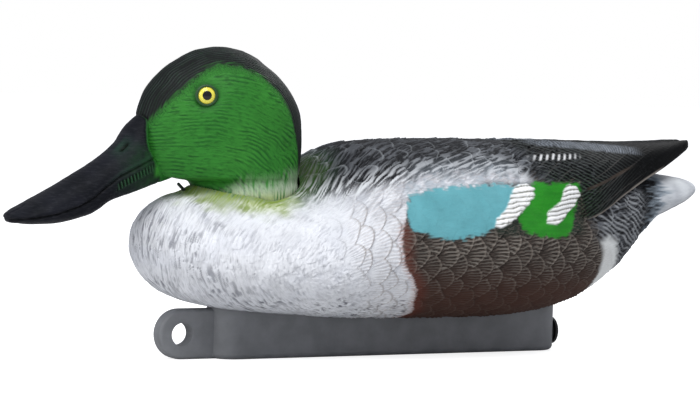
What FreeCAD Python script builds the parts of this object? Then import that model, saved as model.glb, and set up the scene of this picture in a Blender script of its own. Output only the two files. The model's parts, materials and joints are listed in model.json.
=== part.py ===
import FreeCAD, Part
import functools
import math
import os

# A floating duck decoy: a hollow moulded hull, a hollow moulded head that swivels in a cup in the
# hull, and a ballasted keel screwed on underneath. Millimetres. +Z is up, +X points to the tail,
# and +Y is the duck's right. The origin lies midway along the length, under the flat keel bottom.

# ---- overall sizes ----
overall_length = 440.0
hull_length = 358.0
hull_width = 150.0
hull_depth = 102.0
hull_wall = 2.5

# ---- keel ----
keel_height = 22.0
keel_width = 27.0
keel_length = 225.0
keel_rear_inset = 94.0
keel_wall = 2.5
keel_edge_radius = 3.0
keel_seam = 0.2
tie_tab_reach = 32.0
tie_tab_width = 10.0
tie_tab_height = 28.0
tie_hole_radius = 6.5
tie_tab_edge_radius = 2.0

# ---- keel fixings ----
screw_count = 3
screw_radius = 2.0
screw_head_radius = 4.2
screw_head_height = 2.6
screw_length = 24.0
screw_head_edge = 1.0
screw_slot_width = 1.0
screw_slot_depth = 1.2
pilot_overrun = 1.0
screw_hole_clearance = 0.3
screw_well_radius = 5.6
screw_well_depth = 8.0
screw_column_wall = 2.2
washer_thickness = 1.2
washer_radius = 5.2
boss_radius = 6.0
boss_height = 17.0
fill_plug_radius = 6.0
fill_plug_flange = 2.0
fill_plug_flange_thickness = 1.6
fill_plug_depth = 6.0
vent_plug_radius = 5.0
vent_plug_depth = 7.0
vent_rim_height = 6.0
fit_clearance = 0.05
pour_clearance = 0.2

# ---- neck and swivel ----
neck_from_breast = 59.0
neck_radius = 30.0
neck_gap = 0.35
cup_floor_height = 50.0
cup_floor_thickness = 4.0
collar_wall = 4.0
spigot_radius = 10.0
spigot_length = 15.0
spigot_running_fit = 0.06
spigot_end_clearance = 1.0
socket_wall = 3.5
neck_washer_thickness = 1.2
neck_washer_margin = 2.0
neck_washer_bore_clearance = 0.6
neck_plug_flange = 4.0
neck_plug_height = 22.0
neck_plug_bore = 17.0
swivel_limit = 60.0
pin_radius = 0.9
pin_from_neck = 5.0
pin_angle = 43.0
pin_outer_length = 7.5
pin_inner_length = 12.4
pin_slot_clearance = 0.8

# ---- head ----
head_wall = 2.5
neck_wall = 3.4
head_height = 78.0
head_width = 61.0
skull_length = 98.0
bill_width = 33.0
bill_root_reach = 46.0
neck_margin = 0.4
neck_height_share = 0.1

# ---- eyes ----
eye_radius = 5.2
eye_seat_depth = 4.6
eye_seat_wall = 2.2
iris_thickness = 3.2
pupil_radius = 2.7
pupil_thickness = 0.5
lens_rise = 1.3
eye_forward_turn = 14.0
eye_from_neck = 36.3
eye_height_share = 0.655
eye_side = 25.4

# ---- forms ----
section_points = 16
wing_valley = 1.5
wing_side_lean = 0.93

# ---- places that follow from the sizes ----
tail_x = overall_length / 2
breast_x = tail_x - hull_length
bill_x = -overall_length / 2
hull_z = keel_height
neck_x = breast_x + neck_from_breast
bill_length = neck_x - bill_root_reach - bill_x
cup_floor_z = hull_z + cup_floor_height
neck_foot_z = cup_floor_z + neck_washer_thickness
head_base_z = hull_z + 74.0
keel_rear_x = tail_x - keel_rear_inset
keel_front_x = keel_rear_x - keel_length

# Hull outline, from breast to tail: place along the hull, back height, belly height and half
# width as shares of the hull's length, depth and half width, then how square the upper and the
# lower half of the section are (2 is an ellipse).
HULL_STATIONS = [
    (0.000, 0.470, 0.380, 0.090, 2.0, 2.0),
    (0.007, 0.560, 0.280, 0.350, 2.0, 2.0),
    (0.025, 0.640, 0.185, 0.550, 1.9, 2.0),
    (0.056, 0.690, 0.115, 0.700, 1.8, 2.1),
    (0.106, 0.718, 0.070, 0.815, 1.7, 2.2),
    (0.176, 0.725, 0.040, 0.900, 1.7, 2.2),
    (0.240, 0.765, 0.024, 0.948, 1.8, 2.3),
    (0.282, 0.880, 0.016, 0.970, 1.9, 2.3),
    (0.325, 0.957, 0.010, 0.985, 2.0, 2.3),
    (0.400, 0.988, 0.004, 1.000, 2.0, 2.3),
    (0.500, 1.000, 0.000, 1.000, 2.0, 2.3),
    (0.609, 0.995, 0.008, 0.960, 2.0, 2.3),
    (0.693, 0.965, 0.045, 0.860, 2.0, 2.2),
    (0.763, 0.925, 0.125, 0.725, 2.0, 2.1),
    (0.818, 0.885, 0.255, 0.580, 2.0, 2.0),
    (0.866, 0.850, 0.420, 0.450, 2.0, 2.0),
    (0.905, 0.830, 0.530, 0.380, 2.0, 2.0),
    (0.939, 0.815, 0.585, 0.345, 2.0, 2.0),
    (0.969, 0.802, 0.640, 0.325, 2.0, 2.0),
    (0.992, 0.785, 0.695, 0.225, 2.0, 2.0),
    (1.000, 0.765, 0.720, 0.100, 2.0, 2.0),
]
WIDEST_SHARE = 0.45

# Folded wings above the rump: place along the hull, height of the lower edge, height of the
# ridge, half width at the lower edge, half width at the ridge, in the same shares.
WING_STATIONS = [
    (0.600, 0.400, 0.900, 0.900, 0.300),
    (0.712, 0.485, 1.003, 0.830, 0.360),
    (0.800, 0.645, 1.006, 0.640, 0.300),
    (0.905, 0.838, 1.006, 0.370, 0.220),
    (0.988, 0.965, 1.004, 0.120, 0.085),
]

# Head outline, from the neck up: height, reach forward and backward of the neck axis, and half
# width, as shares of head height, skull length, skull length and half of the head width.
HEAD_STATIONS = [
    (-0.040, 0.298, 0.298, 0.958),
    (0.000, 0.300, 0.298, 0.960),
    (0.035, 0.325, 0.299, 0.962),
    (0.062, 0.430, 0.300, 0.965),
    (0.090, 0.580, 0.302, 0.970),
    (0.150, 0.640, 0.308, 0.985),
    (0.300, 0.675, 0.318, 1.000),
    (0.450, 0.680, 0.314, 1.000),
    (0.580, 0.660, 0.290, 0.970),
    (0.680, 0.625, 0.245, 0.910),
    (0.780, 0.562, 0.178, 0.800),
    (0.870, 0.475, 0.092, 0.630),
    (0.940, 0.380, 0.010, 0.430),
    (0.985, 0.280, -0.080, 0.210),
    (1.000, 0.220, -0.140, 0.100),
]
HEAD_FRONT_TAPER = 0.28

# Bill outline, from the tip back into the skull: place back from the tip as a share of the bill's
# length, top and bottom heights above the hull's base in millimetres, and half width as a share
# of half the bill width.
BILL_STATIONS = [
    (0.000, 58.6, 55.4, 0.20),
    (0.016, 60.2, 54.3, 0.50),
    (0.074, 63.2, 53.0, 0.84),
    (0.179, 68.6, 52.8, 1.00),
    (0.295, 74.8, 53.5, 0.99),
    (0.421, 82.0, 57.0, 0.93),
    (0.547, 89.4, 64.0, 0.87),
    (0.653, 98.0, 69.0, 0.86),
    (0.737, 109.0, 72.0, 0.92),
    (0.863, 118.0, 78.0, 1.00),
    (1.000, 119.0, 84.0, 1.00),
]
BILL_HOLLOW_SHARE = 0.27


def power(value, exponent):
    """Signed power, so that a superellipse keeps its quadrant."""
    return math.copysign(abs(value) ** exponent, value)


def closed_curve(points):
    """A smooth closed wire through the points."""
    curve = Part.BSplineCurve()
    curve.interpolate(points, PeriodicFlag=True)
    return Part.Wire([curve.toShape()])


def cylinder(radius, base, direction, length):
    return Part.makeCylinder(radius, length, base, direction)


def upright(radius, x, y, low, high):
    return cylinder(radius, FreeCAD.Vector(x, y, low), FreeCAD.Vector(0, 0, 1), high - low)


def cross_section(x, top, bottom, half_width, upper, lower, inset):
    """An upright superellipse across the body at x, drawn in by inset."""
    top -= inset
    bottom += inset
    half_width -= inset
    widest = bottom + WIDEST_SHARE * (top - bottom)
    points = []
    for index in range(section_points):
        angle = 2 * math.pi * index / section_points
        square = upper if math.sin(angle) >= 0 else lower
        rise = top - widest if math.sin(angle) >= 0 else widest - bottom
        y = half_width * power(math.cos(angle), 2 / square)
        z = widest + rise * power(math.sin(angle), 2 / square)
        points.append(FreeCAD.Vector(x, y, z))
    return closed_curve(points)


@functools.lru_cache
def hull_form(inset):
    """The hull without its wings, drawn in by inset."""
    sections = []
    for along, top, bottom, side, upper, lower in HULL_STATIONS:
        x = breast_x + hull_length * along
        if inset > 0 and (x < breast_x + inset / 2 or x > tail_x - inset * 3):
            continue
        heights = (hull_z + hull_depth * top, hull_z + hull_depth * bottom)
        half_width = hull_width / 2 * side
        sections.append(cross_section(x, heights[0], heights[1], half_width, upper, lower, inset))
    return Part.makeLoft(sections, True, False)


def wing_form(inset):
    """Both folded wings as one wedge over the rump, with a shallow valley along the middle."""
    sections = []
    stations = WING_STATIONS if inset == 0 else WING_STATIONS[:-1]
    for along, low, ridge, side, ridge_side in stations:
        x = breast_x + hull_length * along
        low_z = hull_z + hull_depth * low + inset
        ridge_z = hull_z + hull_depth * ridge - inset
        side_y = hull_width / 2 * side - inset
        ridge_y = hull_width / 2 * ridge_side - inset / 2
        shoulder_z = (low_z + 2 * ridge_z) / 3
        half = [(side_y, low_z), (side_y * wing_side_lean, shoulder_z), (ridge_y, ridge_z)]
        outline = half + [(0, ridge_z - wing_valley)] + [(-y, z) for y, z in reversed(half)]
        corners = [FreeCAD.Vector(x, y, z) for y, z in outline]
        sections.append(Part.makePolygon(corners + corners[:1]))
    return Part.makeLoft(sections, True, True)


@functools.lru_cache
def hull_outside():
    return hull_form(0).fuse(wing_form(0))


def pin_direction():
    angle = math.radians(pin_angle)
    return FreeCAD.Vector(math.cos(angle), 0, -math.sin(angle))


@functools.lru_cache
def pin_root():
    """Where the pin enters the breast, on the hull's middle line in front of the neck."""
    x = neck_x - neck_radius - pin_from_neck
    line = Part.makeLine(FreeCAD.Vector(x, 0, hull_z + hull_depth / 2), FreeCAD.Vector(x, 0, 400))
    inside = line.common(hull_form(0))
    return FreeCAD.Vector(x, 0, inside.BoundBox.ZMax)


def pin(radius, start, end):
    """A round-ended peg on the pin's axis, from start to end along it, measured from its root."""
    way = pin_direction()
    base = pin_root() + way * start
    peg = cylinder(radius, base, way, end - start)
    return peg.fuse(Part.makeSphere(radius, base)).removeSplitter()


def neck_cup():
    """Collar and floor that carry the neck, and the socket under the floor for the spigot."""
    collar_radius = neck_radius + neck_gap + collar_wall
    floor_z = cup_floor_z - cup_floor_thickness
    socket_radius = spigot_radius + spigot_running_fit + socket_wall
    socket_z = cup_floor_z - spigot_length - socket_wall
    collar = upright(collar_radius, neck_x, 0, floor_z, hull_z + hull_depth)
    return collar.fuse(upright(socket_radius, neck_x, 0, socket_z, cup_floor_z))


def neck_cup_space():
    bore = upright(neck_radius + neck_gap, neck_x, 0, cup_floor_z, hull_z + hull_depth * 1.5)
    socket_radius = spigot_radius + spigot_running_fit
    socket = upright(socket_radius, neck_x, 0, cup_floor_z - spigot_length, cup_floor_z + 1)
    return bore.fuse(socket)


def screw_places():
    """Screw positions, evenly spaced along the keel's body."""
    step = keel_length / screw_count
    return [keel_front_x + step * (index + 0.5) for index in range(screw_count)]


@functools.lru_cache
def hull_base_at(x):
    """Height of the hull's lowest line at x."""
    line = Part.makeLine(FreeCAD.Vector(x, 0, -50), FreeCAD.Vector(x, 0, hull_z + hull_depth / 2))
    return line.common(hull_form(0)).BoundBox.ZMin


def vent_x():
    places = screw_places()
    return (places[0] + places[1]) / 2


def body_shell():
    outside = hull_outside()
    shell = outside.cut(hull_form(hull_wall).fuse(wing_form(hull_wall)))
    inner = neck_cup()
    for x in screw_places():
        base = hull_base_at(x)
        inner = inner.fuse(upright(boss_radius, x, 0, base, base + boss_height))
    vent_base = hull_base_at(vent_x())
    rim_radius = vent_plug_radius + hull_wall
    inner = inner.fuse(upright(rim_radius, vent_x(), 0, vent_base, vent_base + vent_rim_height))
    shell = shell.fuse(inner.common(outside)).cut(neck_cup_space())
    for x in screw_places():
        pilot_top = screw_seat_z() + screw_length + pilot_overrun
        shell = shell.cut(upright(screw_radius, x, 0, 0, pilot_top))
    hole_radius = vent_plug_radius + fit_clearance
    shell = shell.cut(upright(hole_radius, vent_x(), 0, 0, vent_base + vent_rim_height * 2))
    return shell.cut(pin(pin_radius + fit_clearance, -pin_outer_length, pin_inner_length))


def vent_plug():
    base = hull_base_at(vent_x()) + keel_seam
    return upright(vent_plug_radius, vent_x(), 0, base, base + vent_plug_depth)


def keel_blank(inset, top):
    """The keel's long body with round upright ends, drawn in by inset."""
    half = keel_width / 2 - inset
    front = keel_front_x + keel_width / 2
    rear = keel_rear_x - keel_width / 2
    low = FreeCAD.Vector(front, -half, inset)
    blank = Part.makeBox(rear - front, half * 2, top - inset, low)
    for x in (front, rear):
        blank = blank.fuse(upright(half, x, 0, inset, top))
    return blank.removeSplitter()


def round_low_edges(shape, radius):
    """Rounds the edges that lie on the shape's bottom face."""
    low = shape.BoundBox.ZMin
    edges = [edge for edge in shape.Edges if edge.BoundBox.ZMax < low + 0.01]
    return shape.makeFillet(radius, edges)


def tie_hole_x():
    return keel_front_x - tie_tab_reach + tie_tab_height / 2


def tie_tab():
    """Flat tab in front of the keel, with a round nose and a round hole for the anchor line."""
    nose = tie_hole_x()
    middle = tie_tab_height / 2
    across = FreeCAD.Vector(0, 1, 0)
    side = -tie_tab_width / 2
    disc = cylinder(middle, FreeCAD.Vector(nose, side, middle), across, tie_tab_width)
    reach = keel_front_x + keel_width / 2 - nose
    box = Part.makeBox(reach, tie_tab_width, tie_tab_height, FreeCAD.Vector(nose, side, 0))
    tab = disc.fuse(box).removeSplitter()
    flat = [edge for edge in tab.Edges if abs(abs(edge.CenterOfMass.y) - tie_tab_width / 2) < 0.01]
    front = [edge for edge in flat if edge.CenterOfMass.x < keel_front_x - 1]
    tab = tab.makeFillet(tie_tab_edge_radius, front)
    return tab.cut(tie_hole())


def tie_hole():
    base = FreeCAD.Vector(tie_hole_x(), -keel_width, tie_tab_height / 2)
    return cylinder(tie_hole_radius, base, FreeCAD.Vector(0, 1, 0), keel_width * 2)


def screw_seat_z():
    return screw_well_depth + washer_thickness


def fill_plug_base():
    return FreeCAD.Vector(keel_rear_x, 0, keel_height / 2)


def keel_shell():
    high = hull_z + hull_depth / 3
    blank = round_low_edges(keel_blank(0, high), keel_edge_radius)
    ceiling = keel_height - keel_wall * 1.5
    inside = keel_blank(keel_wall, ceiling)
    for x in screw_places():
        column = screw_well_radius + screw_column_wall
        inside = inside.cut(upright(column, x, 0, 0, keel_height))
    seat = hull_outside().copy()
    seat.translate(FreeCAD.Vector(0, 0, -keel_seam))
    keel = blank.fuse(tie_tab()).cut(seat).cut(inside).cut(tie_hole())
    for x in screw_places():
        keel = keel.cut(upright(screw_well_radius, x, 0, -1, screw_seat_z()))
        keel = keel.cut(upright(screw_radius + screw_hole_clearance, x, 0, 0, high))
    back = FreeCAD.Vector(-1, 0, 0)
    return keel.cut(cylinder(fill_plug_radius + fit_clearance, fill_plug_base(), back, keel_wall * 3))


def keel_ballast():
    """Poured ballast that fills the keel round the screw columns."""
    inset = keel_wall + pour_clearance
    ceiling = keel_height - keel_wall * 1.5 - pour_clearance
    fill = keel_blank(inset, ceiling)
    for x in screw_places():
        column = screw_well_radius + screw_column_wall + pour_clearance
        fill = fill.cut(upright(column, x, 0, 0, keel_height))
    plug_space = fill_plug_depth + pour_clearance * 2
    back = FreeCAD.Vector(-1, 0, 0)
    radius = fill_plug_radius + pour_clearance
    return fill.cut(cylinder(radius, fill_plug_base(), back, plug_space))


def keel_fill_plug():
    """Push-in plug with a thin flange on the keel's rear end."""
    back = FreeCAD.Vector(-1, 0, 0)
    plug = cylinder(fill_plug_radius, fill_plug_base(), back, fill_plug_depth)
    start = fill_plug_base() + FreeCAD.Vector(fill_plug_flange_thickness, 0, 0)
    flange_radius = fill_plug_radius + fill_plug_flange
    flange = cylinder(flange_radius, start, back, fill_plug_flange_thickness)
    return plug.fuse(flange).removeSplitter()


def keel_screws():
    """Pan-head screws, driven up through the keel into the hull's bosses."""
    screws = []
    for x in screw_places():
        seat = screw_seat_z() - washer_thickness
        head = upright(screw_head_radius, x, 0, seat - screw_head_height, seat)
        head = round_low_edges(head, screw_head_edge)
        shank = upright(screw_radius - fit_clearance, x, 0, seat, seat + screw_length)
        slot_length = screw_head_radius * 1.3
        corner = FreeCAD.Vector(x - slot_length / 2, -screw_slot_width / 2, seat - screw_head_height)
        slot = Part.makeBox(slot_length, screw_slot_width, screw_slot_depth, corner)
        screws.append(head.fuse(shank).removeSplitter().cut(slot))
    return Part.makeCompound(screws)


def keel_washers():
    washers = []
    for x in screw_places():
        seat = screw_seat_z()
        disc = upright(washer_radius, x, 0, seat - washer_thickness, seat)
        washers.append(disc.cut(upright(screw_radius + fit_clearance, x, 0, 0, seat)))
    return Part.makeCompound(washers)


def neck_washer():
    """Nylon ring on the cup's floor that the neck turns on."""
    outer = upright(neck_radius - neck_washer_margin, neck_x, 0, cup_floor_z, neck_foot_z)
    bore_radius = spigot_radius + neck_washer_bore_clearance
    return outer.cut(upright(bore_radius, neck_x, 0, cup_floor_z - 1, neck_foot_z + 1))


def retaining_pin():
    return pin(pin_radius, -pin_outer_length, pin_inner_length)


def pin_slot():
    """Arc-shaped space round the front of the neck for the pin's inner end."""
    way = pin_direction()
    tip = pin_root() + way * pin_inner_length
    entry = (tip.x - (neck_x - neck_radius)) / way.x
    low = tip.z - pin_radius - pin_slot_clearance
    high = tip.z - way.z * entry + pin_radius / way.x + pin_slot_clearance
    root_radius = neck_x - tip.x - pin_radius - pin_slot_clearance
    margin = math.degrees((pin_radius + pin_slot_clearance) / root_radius)
    spread = 2 * (swivel_limit + margin)
    base = FreeCAD.Vector(neck_x, 0, low)
    up = FreeCAD.Vector(0, 0, 1)
    sector = Part.makeCylinder(neck_radius + 1, high - low, base, up, spread)
    sector.rotate(base, up, 180 - spread / 2)
    return sector.cut(upright(root_radius, neck_x, 0, low, high))


def head_section(z, front_x, rear_x, half_width, inset):
    """A level egg-shaped section of the head, slimmer in front as it reaches forward."""
    lean = (2 * neck_x - front_x - rear_x) / skull_length
    slimming = HEAD_FRONT_TAPER * min(1.0, max(0.0, lean / 0.3))
    middle = (front_x + rear_x) / 2
    reach = (rear_x - front_x) / 2 - inset
    half_width -= inset
    points = []
    for index in range(section_points):
        angle = 2 * math.pi * index / section_points
        y = half_width * math.sin(angle) * (1 + slimming * math.cos(angle))
        points.append(FreeCAD.Vector(middle + reach * math.cos(angle), y, z))
    return closed_curve(points)


def head_form(inset):
    """The head above its round neck, up to the crown, drawn in by inset."""
    sections = []
    for height, front, rear, side in HEAD_STATIONS:
        z = head_base_z + head_height * height
        front_x = neck_x - skull_length * front
        rear_x = neck_x + skull_length * rear
        half_width = head_width / 2 * side
        if height < neck_height_share:
            rear_x = min(rear_x, neck_x + neck_radius - neck_margin)
            half_width = min(half_width, neck_radius - neck_margin)
        if height <= 0:
            front_x = max(front_x, neck_x - neck_radius + neck_margin)
        if inset == 0 or z < head_base_z + head_height - inset * 1.5:
            sections.append(head_section(z, front_x, rear_x, half_width, inset))
    return Part.makeLoft(sections, True, False)


def bill_form(inset):
    """The spoon-shaped bill, from its tip back into the skull, drawn in by inset."""
    sections = []
    for back, top, bottom, side in BILL_STATIONS:
        half_width = bill_width / 2 * side
        if inset > 0 and back < BILL_HOLLOW_SHARE:
            continue
        x = bill_x + bill_length * back
        heights = (hull_z + top, hull_z + bottom)
        sections.append(cross_section(x, heights[0], heights[1], half_width, 2.0, 2.6, inset))
    return Part.makeLoft(sections, True, False)


def eye_frame(side):
    """Centre and outward direction of an eye. side is -1 on the left and +1 on the right."""
    turn = math.radians(eye_forward_turn)
    out = FreeCAD.Vector(-math.sin(turn), side * math.cos(turn), 0)
    height = head_base_z + head_height * eye_height_share
    return FreeCAD.Vector(neck_x - eye_from_neck, side * eye_side, height), out


def eye_disc(side, radius, low, high):
    """A disc on an eye's axis, from low to high along it, measured from the eye's rim."""
    centre, out = eye_frame(side)
    return cylinder(radius, centre + out * low, out, high - low)


def neck_bore():
    return neck_radius - neck_wall


def head_shell():
    foot_z = neck_foot_z + neck_plug_flange
    neck_top = head_base_z + head_height * neck_height_share
    outside = head_form(0).fuse(upright(neck_radius, neck_x, 0, foot_z, neck_top))
    outside = outside.fuse(bill_form(0))
    inside = head_form(head_wall).fuse(upright(neck_bore(), neck_x, 0, foot_z - 1, neck_top))
    inside = inside.fuse(bill_form(head_wall))
    shell = outside.cut(inside)
    for side in (-1, 1):
        seat = eye_disc(side, eye_radius + eye_seat_wall, -eye_seat_depth - eye_seat_wall, 1)
        shell = shell.fuse(seat.common(outside))
        shell = shell.cut(eye_disc(side, eye_radius + fit_clearance, -eye_seat_depth, 6))
    return shell.cut(pin_slot())


def neck_plug():
    """Closes the foot of the neck. Its spigot is the swivel's journal."""
    flange_top = neck_foot_z + neck_plug_flange
    plug = upright(neck_radius, neck_x, 0, neck_foot_z, flange_top)
    body_top = neck_foot_z + neck_plug_height
    body_radius = neck_bore() - fit_clearance
    plug = plug.fuse(upright(body_radius, neck_x, 0, neck_foot_z, body_top))
    spigot_z = cup_floor_z - spigot_length + spigot_end_clearance
    plug = plug.fuse(upright(spigot_radius, neck_x, 0, spigot_z, neck_foot_z))
    plug = plug.cut(upright(neck_plug_bore, neck_x, 0, flange_top, body_top + 1))
    return plug.removeSplitter().cut(pin_slot())


def eye_iris(side):
    return eye_disc(side, eye_radius, -eye_seat_depth, -eye_seat_depth + iris_thickness)


def eye_pupil(side):
    base = -eye_seat_depth + iris_thickness
    return eye_disc(side, pupil_radius, base, base + pupil_thickness)


def eye_lens(side):
    """Clear dome over the iris, recessed for the pupil."""
    centre, out = eye_frame(side)
    base = -eye_seat_depth + iris_thickness
    rise = lens_rise - base
    ball_radius = (eye_radius ** 2 + rise ** 2) / (2 * rise)
    ball = Part.makeSphere(ball_radius, centre + out * (lens_rise - ball_radius))
    dome = ball.common(eye_disc(side, eye_radius, base, lens_rise + 1))
    return dome.cut(eye_disc(side, pupil_radius, base - 1, base + pupil_thickness))


def save(name, shape):
    shape.exportStep("parts/" + name + ".step")
    print(name, len(shape.Solids), round(shape.Volume), shape.isValid())


os.makedirs("parts", exist_ok=True)
save("body_shell", body_shell())
save("vent_plug", vent_plug())
save("keel_shell", keel_shell())
save("keel_ballast", keel_ballast())
save("keel_fill_plug", keel_fill_plug())
save("keel_screws", keel_screws())
save("keel_washers", keel_washers())
save("neck_washer", neck_washer())
save("retaining_pin", retaining_pin())
save("head_shell", head_shell())
save("neck_plug", neck_plug())
for side_name, side_sign in (("left", -1), ("right", 1)):
    save(side_name + "_eye_iris", eye_iris(side_sign))
    save(side_name + "_eye_pupil", eye_pupil(side_sign))
    save(side_name + "_eye_lens", eye_lens(side_sign))
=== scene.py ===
import json
import math

import bpy
import numpy as np
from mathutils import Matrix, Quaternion, Vector


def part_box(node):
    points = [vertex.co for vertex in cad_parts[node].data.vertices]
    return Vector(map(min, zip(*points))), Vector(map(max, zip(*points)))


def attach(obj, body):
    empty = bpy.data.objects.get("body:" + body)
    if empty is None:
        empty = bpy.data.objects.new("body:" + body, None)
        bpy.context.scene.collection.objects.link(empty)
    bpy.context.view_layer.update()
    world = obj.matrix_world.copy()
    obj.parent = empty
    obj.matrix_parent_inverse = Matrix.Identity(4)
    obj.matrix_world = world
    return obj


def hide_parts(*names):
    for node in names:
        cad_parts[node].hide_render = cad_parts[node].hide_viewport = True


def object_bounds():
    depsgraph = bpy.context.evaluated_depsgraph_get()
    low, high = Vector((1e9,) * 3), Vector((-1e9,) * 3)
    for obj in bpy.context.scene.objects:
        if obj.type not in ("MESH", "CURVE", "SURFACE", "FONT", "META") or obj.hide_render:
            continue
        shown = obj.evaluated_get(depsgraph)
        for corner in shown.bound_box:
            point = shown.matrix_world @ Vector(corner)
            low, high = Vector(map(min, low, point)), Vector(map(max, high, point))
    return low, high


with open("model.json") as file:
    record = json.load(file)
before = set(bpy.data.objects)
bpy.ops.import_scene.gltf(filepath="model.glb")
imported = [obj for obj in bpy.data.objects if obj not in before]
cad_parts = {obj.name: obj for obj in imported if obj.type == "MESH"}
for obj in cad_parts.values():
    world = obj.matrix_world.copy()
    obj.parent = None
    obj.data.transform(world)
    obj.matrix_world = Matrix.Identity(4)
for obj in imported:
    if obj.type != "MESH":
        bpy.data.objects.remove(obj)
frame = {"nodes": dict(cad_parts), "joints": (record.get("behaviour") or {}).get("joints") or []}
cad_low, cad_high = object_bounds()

# ---- Camera ----
# A long lens a little above the water line, off the duck's left front quarter, so that the bill
# points left and the whole left side shows.
MM = 0.001
VIEW_TURN = math.radians(28.0)
VIEW_RISE = math.radians(3.0)
VIEW_ROLL = math.radians(1.6)
VIEW_DISTANCE = 1500 * MM
look_at = (cad_low + cad_high) / 2 + Vector((-11.4, 0.0, -4.0)) * MM
back = Vector((-math.sin(VIEW_TURN) * math.cos(VIEW_RISE), -math.cos(VIEW_TURN) * math.cos(VIEW_RISE),
               math.sin(VIEW_RISE)))
camera = bpy.data.objects.new("camera", bpy.data.cameras.new("camera"))
camera.data.lens = 134.4
camera.data.clip_start = 0.05
camera.data.clip_end = 50.0
camera.location = look_at + back * VIEW_DISTANCE
camera.rotation_mode = "QUATERNION"
camera.rotation_quaternion = (-back).to_track_quat("-Z", "Y") @ Quaternion((0, 0, 1), VIEW_ROLL)
bpy.context.scene.collection.objects.link(camera)
bpy.context.scene.camera = camera
bpy.context.scene.view_settings.view_transform = "Standard"


# ---- Studio ----
# A white table that runs out into a white room, a large soft box over the duck's left shoulder
# and a weaker one from the front. Matt paint on card: no gloss.
def linear(colour):
    """An sRGB hex colour as linear red, green, blue: each channel by the sRGB curve."""
    channels = [int(colour[i:i + 2], 16) / 255 for i in (1, 3, 5)]
    return [c / 12.92 if c <= 0.04045 else ((c + 0.055) / 1.055) ** 2.4 for c in channels]


def add(tree, kind, inputs=None, **settings):
    """One node with its settings; an input is a number, a colour or another node's output."""
    made = tree.nodes.new(kind)
    for name, value in settings.items():
        setattr(made, name, value)
    for name, value in (inputs or {}).items():
        if isinstance(value, bpy.types.NodeSocket):
            tree.links.new(value, made.inputs[name])
        else:
            made.inputs[name].default_value = value
    return made


def new_material(name):
    """An empty node material and its tree."""
    material = bpy.data.materials.new(name)
    material.use_nodes = True
    material.node_tree.nodes.clear()
    return material, material.node_tree


def finish_material(tree, shader, bump=None):
    add(tree, "ShaderNodeOutputMaterial", {"Surface": shader.outputs[0]})


TABLE_GLOW = 0.78
TABLE_REACH = 12.0
card, tree = new_material("white_card")
grain = add(tree, "ShaderNodeTexNoise", {"Scale": 40.0, "Detail": 2.0})
bump = add(tree, "ShaderNodeBump", {"Height": grain.outputs["Fac"], "Strength": 0.02, "Distance": 0.001})
paper = add(tree, "ShaderNodeBsdfDiffuse", {"Color": (*linear("#d9d9d9"), 1), "Normal": bump.outputs[0]})
glow = add(tree, "ShaderNodeEmission", {"Color": (1, 1, 1, 1), "Strength": TABLE_GLOW})
lit = add(tree, "ShaderNodeAddShader")
tree.links.new(paper.outputs[0], lit.inputs[0])
tree.links.new(glow.outputs[0], lit.inputs[1])
path = add(tree, "ShaderNodeLightPath")
shown = add(tree, "ShaderNodeMixShader", {"Fac": path.outputs["Is Camera Ray"]})
tree.links.new(paper.outputs[0], shown.inputs[1])
tree.links.new(lit.outputs[0], shown.inputs[2])
finish_material(tree, shown)
table_mesh = bpy.data.meshes.new("table")
table_mesh.from_pydata([(-TABLE_REACH, -TABLE_REACH, 0), (TABLE_REACH, -TABLE_REACH, 0),
                        (TABLE_REACH, TABLE_REACH, 0), (-TABLE_REACH, TABLE_REACH, 0)], [], [(0, 1, 2, 3)])
table_mesh.materials.append(card)
table_top = bpy.data.objects.new("table", table_mesh)
bpy.context.scene.collection.objects.link(table_top)

room = bpy.data.worlds.new("room")
room.use_nodes = True
room.node_tree.nodes.clear()
bpy.context.scene.world = room
tree = room.node_tree
path = add(tree, "ShaderNodeLightPath")
seen = add(tree, "ShaderNodeMath", {0: path.outputs["Is Camera Ray"], 1: path.outputs["Is Transmission Ray"]},
           operation="MAXIMUM")
soft_light = add(tree, "ShaderNodeBackground", {"Color": (*linear("#f4f6ff"), 1), "Strength": 0.55})
white_wall = add(tree, "ShaderNodeBackground", {"Color": (1, 1, 1, 1), "Strength": 1.0})
both = add(tree, "ShaderNodeMixShader", {"Fac": seen.outputs[0]})
tree.links.new(soft_light.outputs[0], both.inputs[1])
tree.links.new(white_wall.outputs[0], both.inputs[2])
add(tree, "ShaderNodeOutputWorld", {"Surface": both.outputs[0]})

# Each lamp: name, place in metres, size in metres, watts.
for name, place, size, watts in (("soft_box_high", (-0.5, -0.9, 1.5), 1.1, 21.0),
                                 ("soft_box_front", (-1.6, -0.5, 0.5), 0.9, 7.0),
                                 ("soft_box_rear", (1.2, 0.7, 1.2), 0.8, 9.0)):
    lamp = bpy.data.objects.new(name, bpy.data.lights.new(name, "AREA"))
    lamp.data.size = size
    lamp.data.energy = watts
    lamp.location = place
    lamp.rotation_mode = "QUATERNION"
    lamp.rotation_quaternion = (look_at - Vector(place)).to_track_quat("-Z", "Y")
    bpy.context.scene.collection.objects.link(lamp)


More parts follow.
